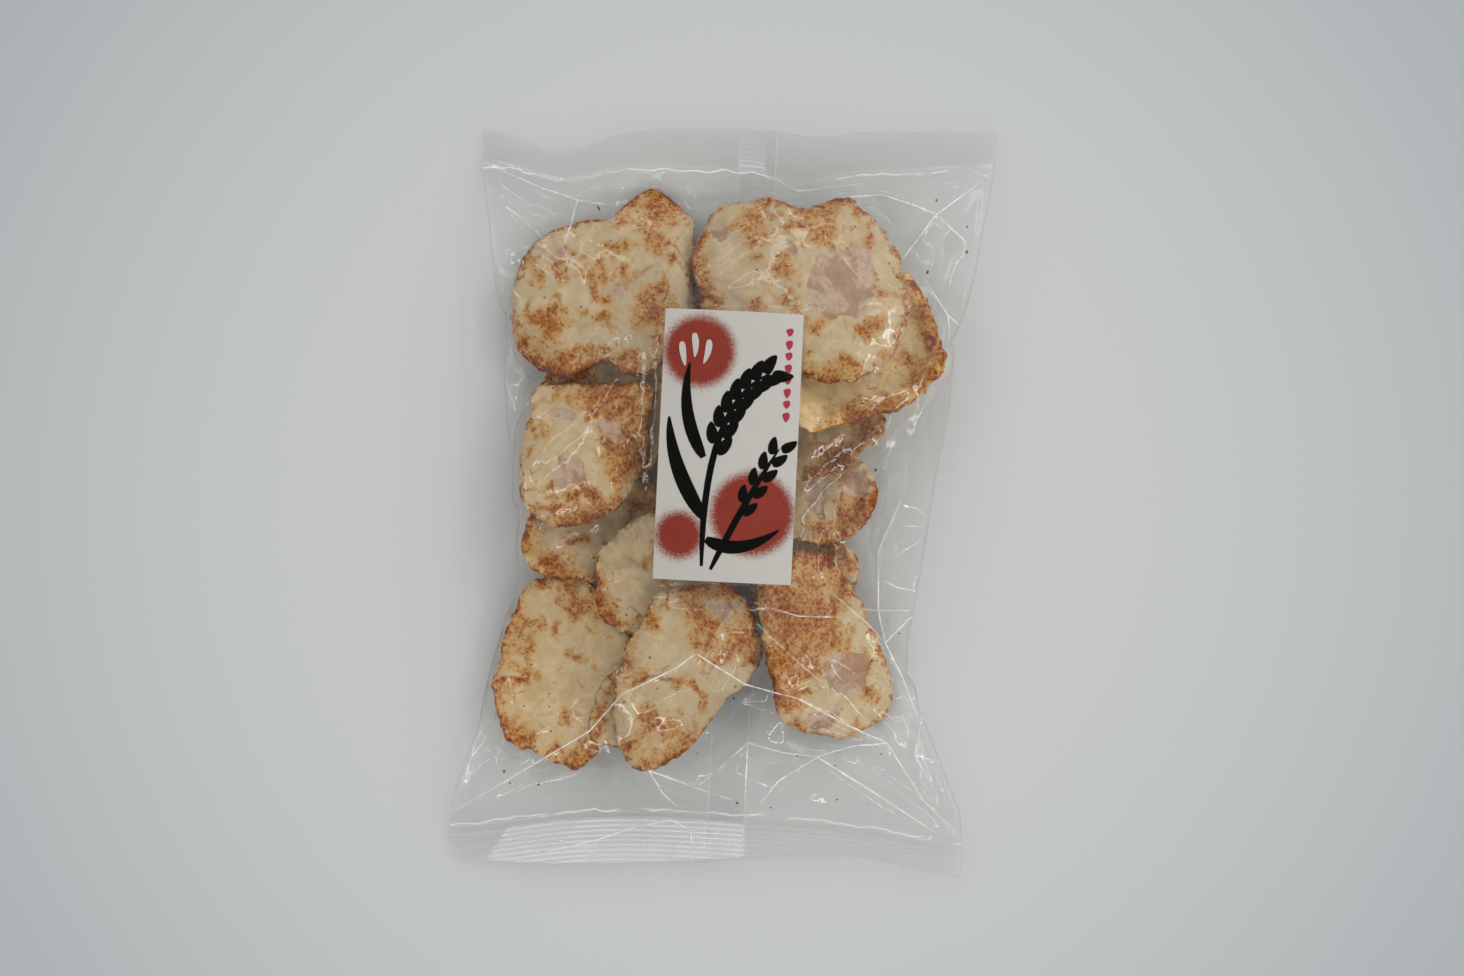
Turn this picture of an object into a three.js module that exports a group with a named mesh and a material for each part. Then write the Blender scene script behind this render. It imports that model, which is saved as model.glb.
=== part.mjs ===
// A clear pillow pack of fried rice crackers, lying on its back with its label up.
//
// The pack is a tube of film sealed flat across both ends and filled with a loose pile of puffed
// crackers. It is one closed solid here: a front and a back sheet of film, joined round the edge,
// that hang as a tent over the pile, narrow at the waist and press together in two seal bands.
// The paper label is a second solid, a thin sheet that lies on the front.
//
// Millimetres. X runs across the pack, +Y to its top seal, +Z up. The origin is on the table
// under the middle of the pack.

import * as THREE from 'three';

// ---- Driving dimensions ---------------------------------------------------------------

const tubeHalfWidth = 90;      // half of the film tube where it is pressed flat
const bandThickness = 0.8;     // the two sheets of film in a seal band
const bandLift = 8;            // how high the seal bands hover over the table
const bandDroop = 4;           // how much lower their corners hang
const airHeight = 19;          // how high the film stands where no cracker lifts it
const endSlope = 34;           // run in which the film rises from a seal to its full height
const endLift = 30;            // run in which its underside comes down to the table
const flatShare = 0.7;         // share of the width that rests flat on the table
const filmSlope = 0.55;        // fall of the film, per mm, from the edge of what lifts it
const filmTension = 2;         // softness with which it bridges from cracker to cracker

// The waist: how far each side is drawn in, where, how softly, and the height of its fold line.
const waist = {
  left: { pull: 19, at: -22, soft: 12, fold: 12 },
  right: { pull: 20, at: -48, soft: 20, fold: 7 },
};

// Seal lines: the distance of each line from the middle, and the places where a fold in the
// film draws it in. "reach" is how far such a draw spreads to the left and right.
const topEdge = { middle: 129, tilt: 3.4, draws: [
  { at: -62, depth: -8.5, reach: [15, 17] },
  { at: 27, depth: -2.5, reach: [12, 14] },
] };
const topSealLine = { middle: 113.5, tilt: 1.6, draws: [
  { at: -60, depth: -5, reach: [14, 14] },
  { at: 21, depth: -4.5, reach: [9, 14] },
  { at: 92, depth: 4, reach: [30, 30] },
] };
const bottomSealLine = { middle: -108.5, tilt: 0, draws: [
  { at: -95, depth: -9.5, reach: [40, 40] },
  { at: 95, depth: -7, reach: [40, 40] },
] };
const bottomEdge = { middle: -130, tilt: 1.3, draws: [
  { at: 48, depth: 7, reach: [60, 28] },
] };
const cornerRadius = 9;        // the one rounded corner, bottom left

// The crackers that lift the film: middle, size, turn in degrees and the height of their top.
const crackers = [
  { x: -42, y: 71, across: 58, along: 56, turn: 0, top: 18 },
  { x: 26, y: 66, across: 62, along: 42, turn: 0, top: 33 },
  { x: 46, y: 49, across: 46, along: 38, turn: 30, top: 31.5 },
  { x: -46, y: 11, across: 42, along: 50, turn: -8, top: 26.5 },
  { x: -42, y: -20, across: 42, along: 38, turn: 0, top: 25 },
  { x: 34, y: 10, across: 40, along: 50, turn: 0, top: 30 },
  { x: 2, y: 18, across: 46, along: 90, turn: 0, top: 38 },
  { x: -53, y: -58, across: 44, along: 50, turn: -10, top: 21 },
  { x: -14, y: -50, across: 36, along: 30, turn: -32, top: 30 },
  { x: 33, y: -50, across: 40, along: 50, turn: 22, top: 22 },
];

// The label: a standard 45 by 90 paper label on the film over the middle of the pile.
const label = { x: 1.6, y: 17.7, width: 46, height: 90, thickness: 0.4, gap: 0.4 };
const labelTop = 41;           // height of the film under the middle of the label
const labelSideDrop = 3.2;     // how much lower the film lies at its left and right edges
const labelEndDrop = 3.6;      // and at its upper and lower edges
const labelBlend = 12;         // run in which the film leaves the label's smooth bed

// Facets
const columns = 44;
const pillowRows = 44;
const bandRows = 3;
const columnCrowding = 0.42 * Math.PI;   // columns stand closer towards the round sides
const labelColumns = 10;
const labelRows = 20;

// ---- Small helpers ----------------------------------------------------------------------

const mix = (a, b, t) => a + (b - a) * t;
const clamp = (v, low = 0, high = 1) => Math.min(high, Math.max(low, v));
const ease = (t) => {
  const c = clamp(t);
  return c * c * (3 - 2 * c);
};
const rad = (degrees) => degrees * Math.PI / 180;

// ---- The pack's outline -------------------------------------------------------------------

// A seal line's y at a given x: its middle, its tilt and the draws along it.
function lineY(line, x) {
  let y = line.middle + line.tilt * x / tubeHalfWidth;
  for (const draw of line.draws) {
    const reach = x < draw.at ? draw.reach[0] : draw.reach[1];
    y += draw.depth * Math.exp(-(((x - draw.at) / reach) ** 2));
  }
  return y;
}

// How far a side is drawn in at y: a soft-tipped tent between the two seals.
function sidePull(side, y) {
  const run = y > side.at ? topSealLine.middle - side.at : side.at - bottomSealLine.middle;
  const away = Math.hypot(y - side.at, side.soft) - side.soft;
  return side.pull * clamp(1 - away / (run - side.soft));
}

const leftX = (y) => -tubeHalfWidth + sidePull(waist.left, y);
const rightX = (y) => tubeHalfWidth - sidePull(waist.right, y);

// ---- The film's height -------------------------------------------------------------------

// The film over one cracker: level on top, and falling in a straight slope outside its edge.
function tent(cracker, x, y) {
  const turn = rad(cracker.turn);
  const dx = x - cracker.x;
  const dy = y - cracker.y;
  const u = (dx * Math.cos(turn) + dy * Math.sin(turn)) / (cracker.across / 2);
  const v = (dy * Math.cos(turn) - dx * Math.sin(turn)) / (cracker.along / 2);
  const outside = Math.hypot(dx, dy) * (1 - 1 / Math.max(Math.hypot(u, v), 1));
  return cracker.top - filmSlope * outside;
}

// It bridges from one to the next: a soft maximum of all the tents and of the air in the bag.
function softMax(heights) {
  const highest = Math.max(...heights);
  const sum = heights.reduce((all, h) => all + Math.exp((h - highest) / filmTension), 0);
  return highest + filmTension * Math.log(sum);
}

// The label's smooth bed, and how much of it shows at (x, y).
const acrossLabel = (x) => (x - label.x) / (label.width / 2);
const alongLabel = (y) => (y - label.y) / (label.height / 2);
function labelBed(x, y) {
  return labelTop - labelSideDrop * acrossLabel(x) ** 2 - labelEndDrop * alongLabel(y) ** 2;
}
function bedShare(x, y) {
  const outX = Math.max(0, Math.abs(x - label.x) - label.width / 2);
  const outY = Math.max(0, Math.abs(y - label.y) - label.height / 2);
  return 1 - ease((Math.hypot(outX, outY) - 2) / labelBlend);
}

// How full the pillow is at the seal ends: 0 on a seal line, 1 a slope's run away from it.
function endFullness(fromBottom, fromTop, run) {
  const near = clamp(Math.min(fromBottom, fromTop) / run);
  return Math.sqrt(1 - (1 - near) ** 2);
}

// How full it is across: 0 on the side fold, 1 over most of the middle.
const sideFullness = (s) => Math.min(1, 1.2 * (1 - Math.abs(s) ** 3.4) ** 0.55);

const bandHeight = (x) => bandLift - bandDroop * (x / tubeHalfWidth) ** 2
  + 1.6 * Math.sin(x / 17) * Math.cos(x / 31);

// ---- The grid of film points ----------------------------------------------------------------

// Rows run from the bottom edge to the top edge; columns from the left side to the right.
const rowCount = bandRows + pillowRows + bandRows;

function gridPoint(column, row) {
  const s = Math.sin(mix(-1, 1, column / columns) * columnCrowding) / Math.sin(columnCrowding);
  // A seal line's y depends on x and the side's x on y, so the point is settled in a few steps.
  let x = s * tubeHalfWidth;
  let y = 0;
  for (let step = 0; step < 6; step += 1) {
    y = rowY(row, x);
    x = mix(leftX(y), rightX(y), (s + 1) / 2);
  }
  const up = y - lineY(bottomEdge, x);
  if (s < 0 && up < cornerRadius) {
    const inset = cornerRadius - Math.sqrt(cornerRadius ** 2 - (cornerRadius - up) ** 2);
    x += inset * s * s;
  }
  return { s, x, y };
}

function rowY(row, x) {
  if (row < bandRows) {
    return mix(lineY(bottomEdge, x), lineY(bottomSealLine, x), row / bandRows);
  }
  if (row > bandRows + pillowRows) {
    const t = (row - bandRows - pillowRows) / bandRows;
    return mix(lineY(topSealLine, x), lineY(topEdge, x), t);
  }
  return mix(lineY(bottomSealLine, x), lineY(topSealLine, x), (row - bandRows) / pillowRows);
}

// Front and back height of the film at one grid point.
function filmHeights({ s, x, y }) {
  const fromBottom = y - lineY(bottomSealLine, x);
  const fromTop = lineY(topSealLine, x) - y;
  const band = bandHeight(x);
  const inBand = Math.min(fromBottom, fromTop) <= 0.01;
  const pinch = bandThickness / 2 * (1 - s ** 6);
  if (inBand) {
    return { front: band + pinch, back: band - pinch };
  }
  const rise = endFullness(fromBottom, fromTop, endSlope);
  const drop = ease(Math.min(fromBottom, fromTop) / endLift);
  const side = s < 0 ? waist.left : waist.right;
  const fold = mix(band, side.fold, clamp(Math.min(fromBottom, fromTop) / (2 * endLift)));
  const draped = softMax([airHeight, ...crackers.map((cracker) => tent(cracker, x, y))]);
  const lifted = fold + Math.max(0, draped - fold) * sideFullness(s) * rise + pinch;
  const front = mix(lifted, labelBed(x, y), bedShare(x, y));
  const outside = clamp((Math.abs(s) - flatShare) / (1 - flatShare));
  const under = fold * (1 - Math.sqrt(1 - outside ** 2));
  const back = mix(band * (1 - outside) + fold * outside, under, drop);
  return { front: Math.max(front, fold + pinch), back: Math.max(0, back - pinch * (1 - drop)) };
}

// ---- Solids -----------------------------------------------------------------------------------

// A closed solid from a front and a back sheet of points that share their left and right
// columns. Walls close the two ends.
function twoSheetSolid(columnTotal, rowTotal, pointAt) {
  const positions = [];
  const index = [];
  const front = [];
  const back = [];
  const add = (x, y, z) => positions.push(x, y, z) / 3 - 1;
  for (let column = 0; column <= columnTotal; column += 1) {
    front.push([]);
    back.push([]);
    for (let row = 0; row <= rowTotal; row += 1) {
      const point = pointAt(column, row);
      const onSide = column === 0 || column === columnTotal;
      front[column].push(add(point.x, point.y, onSide ? (point.front + point.back) / 2 : point.front));
      back[column].push(onSide ? front[column][row] : add(point.x, point.y, point.back));
    }
  }
  const triangle = (a, b, c) => {
    if (a !== b && b !== c && c !== a) {
      index.push(a, b, c);
    }
  };
  const quad = (a, b, c, d) => {
    triangle(a, b, c);
    triangle(a, c, d);
  };
  for (let i = 0; i < columnTotal; i += 1) {
    for (let j = 0; j < rowTotal; j += 1) {
      quad(front[i][j], front[i + 1][j], front[i + 1][j + 1], front[i][j + 1]);
      quad(back[i][j], back[i][j + 1], back[i + 1][j + 1], back[i + 1][j]);
    }
    quad(back[i][0], back[i + 1][0], front[i + 1][0], front[i][0]);
    quad(front[i][rowTotal], front[i + 1][rowTotal], back[i + 1][rowTotal], back[i][rowTotal]);
  }
  const geometry = new THREE.BufferGeometry();
  geometry.setAttribute('position', new THREE.Float32BufferAttribute(positions, 3));
  geometry.setIndex(index);
  geometry.computeVertexNormals();
  return geometry;
}

function bagGeometry() {
  return twoSheetSolid(columns, rowCount, (column, row) => {
    const place = gridPoint(column, row);
    return { x: place.x, y: place.y, ...filmHeights(place) };
  });
}

// The label keeps its full thickness up to its edges, so its sheets are joined by four walls.
function labelGeometry() {
  const positions = [];
  const index = [];
  const sheet = (lift) => {
    const start = positions.length / 3;
    for (let column = 0; column <= labelColumns; column += 1) {
      for (let row = 0; row <= labelRows; row += 1) {
        const x = label.x + label.width * (column / labelColumns - 0.5);
        const y = label.y + label.height * (row / labelRows - 0.5);
        positions.push(x, y, labelBed(x, y) + lift);
      }
    }
    return (column, row) => start + column * (labelRows + 1) + row;
  };
  const under = sheet(label.gap);
  const over = sheet(label.gap + label.thickness);
  const quad = (a, b, c, d) => index.push(a, b, c, a, c, d);
  for (let i = 0; i < labelColumns; i += 1) {
    for (let j = 0; j < labelRows; j += 1) {
      quad(over(i, j), over(i + 1, j), over(i + 1, j + 1), over(i, j + 1));
      quad(under(i, j), under(i, j + 1), under(i + 1, j + 1), under(i + 1, j));
    }
    quad(under(i, 0), under(i + 1, 0), over(i + 1, 0), over(i, 0));
    quad(over(i, labelRows), over(i + 1, labelRows), under(i + 1, labelRows), under(i, labelRows));
  }
  for (let j = 0; j < labelRows; j += 1) {
    quad(over(0, j), over(0, j + 1), under(0, j + 1), under(0, j));
    quad(under(labelColumns, j), under(labelColumns, j + 1), over(labelColumns, j + 1), over(labelColumns, j));
  }
  const geometry = new THREE.BufferGeometry();
  geometry.setAttribute('position', new THREE.Float32BufferAttribute(positions, 3));
  geometry.setIndex(index);
  geometry.computeVertexNormals();
  return geometry;
}

// ---- The pack ---------------------------------------------------------------------------------

const filmOverCrackers = new THREE.MeshStandardMaterial({
  color: '#cdb994', roughness: 0.15, metalness: 0,
});
const whitePaper = new THREE.MeshStandardMaterial({
  color: '#f2efe9', roughness: 0.6, metalness: 0,
});

const bag = new THREE.Mesh(bagGeometry(), filmOverCrackers);
bag.name = 'bag';

const paperLabel = new THREE.Mesh(labelGeometry(), whitePaper);
paperLabel.name = 'label';

// The origin moves under the middle of the finished outline.
const group = new THREE.Group();
group.add(bag, paperLabel);
bag.geometry.computeBoundingBox();
const middle = bag.geometry.boundingBox.getCenter(new THREE.Vector3());
group.position.set(-middle.x, -middle.y, 0);

export default group;
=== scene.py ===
# %% [markdown]
# # A clear pillow pack of fried rice crackers
#
# The pack is a tube of clear polypropylene film, sealed flat at both ends, with eighteen puffed
# rice crackers inside and a paper label stuck on its front. It lies on its back.
#
# Each thing is made the way it behaves. A cracker is a closed, curled disc with a browned rim.
# The film is a flat tube that cloth simulation lays over the pile of crackers. The label is a
# sheet that takes the film's curve. All sizes below are in millimetres and become metres in
# one place.

# %% The frame, the box of the CAD model and the plain helpers
import math
from functools import partial

import bpy
import numpy as np
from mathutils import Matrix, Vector, noise


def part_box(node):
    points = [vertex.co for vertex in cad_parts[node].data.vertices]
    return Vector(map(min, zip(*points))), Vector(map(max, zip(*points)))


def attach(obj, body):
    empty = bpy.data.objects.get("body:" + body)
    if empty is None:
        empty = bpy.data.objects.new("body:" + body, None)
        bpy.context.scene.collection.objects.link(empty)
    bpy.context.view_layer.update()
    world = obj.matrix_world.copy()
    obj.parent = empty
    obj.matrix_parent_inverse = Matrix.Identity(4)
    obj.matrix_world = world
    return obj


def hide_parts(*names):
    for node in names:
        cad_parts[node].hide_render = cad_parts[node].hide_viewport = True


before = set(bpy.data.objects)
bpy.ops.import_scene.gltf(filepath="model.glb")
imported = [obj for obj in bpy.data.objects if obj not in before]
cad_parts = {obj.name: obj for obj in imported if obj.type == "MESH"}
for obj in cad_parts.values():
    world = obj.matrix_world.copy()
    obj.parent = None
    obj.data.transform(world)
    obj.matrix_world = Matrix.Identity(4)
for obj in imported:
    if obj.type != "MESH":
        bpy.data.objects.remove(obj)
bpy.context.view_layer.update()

MM = 0.001
scene = bpy.context.scene
bpy.ops.object.select_all(action="DESELECT")


def get_points(obj):
    """A mesh's points as an array, in millimetres."""
    flat = np.empty(len(obj.data.vertices) * 3, dtype=np.float32)
    obj.data.vertices.foreach_get("co", flat)
    return flat.reshape(-1, 3).astype(float) / MM


def set_points(obj, points):
    """Moves a mesh's points to an array given in millimetres."""
    obj.data.vertices.foreach_set("co", (points * MM).astype(np.float32).ravel())
    obj.data.update()


def smooth_step(value, low, high):
    t = np.clip((value - low) / (high - low), 0, 1)
    return t * t * (3 - 2 * t)


def add_mask(obj, name, values):
    """Keeps one number for each point on the mesh."""
    layer = obj.data.attributes.new(name, "FLOAT", "POINT")
    layer.data.foreach_set("value", values.astype(np.float32))


def get_mask(obj, name):
    values = np.empty(len(obj.data.vertices), dtype=np.float32)
    obj.data.attributes[name].data.foreach_get("value", values)
    return values.astype(float)


def add_grid(name, columns, rows):
    """A flat grid, and its points as shares from -0.5 to 0.5 of its sides."""
    bpy.ops.mesh.primitive_grid_add(x_subdivisions=columns, y_subdivisions=rows, size=1)
    grid = bpy.context.object
    grid.name = name
    return grid, get_points(grid) * MM


def apply_modifier(obj, kind, **settings):
    """Adds a modifier with its settings and applies it."""
    modifier = obj.modifiers.new(kind.lower(), kind)
    for name, value in settings.items():
        setattr(modifier, name, value)
    bpy.context.view_layer.objects.active = obj
    bpy.ops.object.modifier_apply(modifier=modifier.name)


def select_only(pieces):
    """Selects these pieces alone, the first one as the active piece."""
    bpy.ops.object.select_all(action="DESELECT")
    for piece in pieces:
        piece.select_set(True)
    bpy.context.view_layer.objects.active = pieces[0]


def join_pieces(name, pieces):
    select_only(pieces)
    bpy.ops.object.join()
    pieces[0].name = name
    return pieces[0]


def edit_mesh(*steps):
    """Runs steps of edit mode on all of the active piece's mesh."""
    bpy.ops.object.mode_set(mode="EDIT")
    bpy.ops.mesh.select_all(action="SELECT")
    for step in steps:
        step()
    bpy.ops.object.mode_set(mode="OBJECT")


# %% [markdown]
# ## Colour and nodes
#
# Colours are written as sRGB hex values, as a painter would read them off a chart, and one
# function turns them into the linear values that the shader wants. One more function adds a
# node with its settings and its links, so that a material below reads from top to bottom.

# %% Colour and node helpers
def linear(hex_colour):
    """An sRGB hex colour as linear RGBA."""
    parts = [int(hex_colour[i:i + 2], 16) / 255 for i in (1, 3, 5)]
    return [c / 12.92 if c <= 0.04045 else ((c + 0.055) / 1.055) ** 2.4 for c in parts] + [1.0]


def add_node(tree, kind, settings=None, inputs=None):
    """Adds one node and returns its outputs. An input is a value or another node's output."""
    node = tree.nodes.new("ShaderNode" + kind)
    for name, value in (settings or {}).items():
        setattr(node, name, value)
    for name, value in (inputs or {}).items():
        if isinstance(value, bpy.types.NodeSocket):
            tree.links.new(value, node.inputs[name])
        else:
            node.inputs[name].default_value = value
    return node.outputs


def node_adder(owner):
    """Empties the node tree of a material or a world, and gives the adder for its nodes."""
    owner.use_nodes = True
    owner.node_tree.nodes.clear()
    return partial(add_node, owner.node_tree)


# Settings that many nodes share.
MULTIPLY, MULTIPLY_ADD = {"operation": "MULTIPLY"}, {"operation": "MULTIPLY_ADD"}
SMOOTH, BLEND = {"interpolation_type": "SMOOTHSTEP"}, {"data_type": "RGBA"}


# %% [markdown]
# ## The camera
#
# The pack is seen from straight above, from about seventy centimetres, through a normal lens.
# It lies a little turned in the picture, so the camera is rolled by that angle instead of
# turning the pack, which has to stay square in its frame.

# %% Camera
CAMERA_HEIGHT = 712 * MM
CAMERA_OVER = (3.5 * MM, 3.45 * MM)
PACK_TURN = math.radians(2.77)

camera_data = bpy.data.cameras.new("camera")
camera_data.lens = 50
camera_data.sensor_width = 36
camera = bpy.data.objects.new("camera", camera_data)
scene.collection.objects.link(camera)
camera.location = (*CAMERA_OVER, CAMERA_HEIGHT)
camera.rotation_euler = (0, 0, PACK_TURN)
scene.camera = camera

# %% [markdown]
# ## The crackers
#
# A fried rice cracker starts as a flat disc of dough that puffs and curls in hot oil, so no
# two have one outline. Each is described here by what a maker would measure: where it lies,
# sixteen radii of its outline, how far it curls along and across, how it leans, where the
# soy glaze has browned it, and where a thin blister shows as a paler window.
#
# A sphere is a good start for such a body: its poles become the middles of the two faces and
# its equator becomes the rim, so the mesh is closed and the rows crowd at the rim, where the
# crust is rough. The sphere is flattened and bent point by point, then Displace modifiers add
# the lumps that no formula gives.

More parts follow.
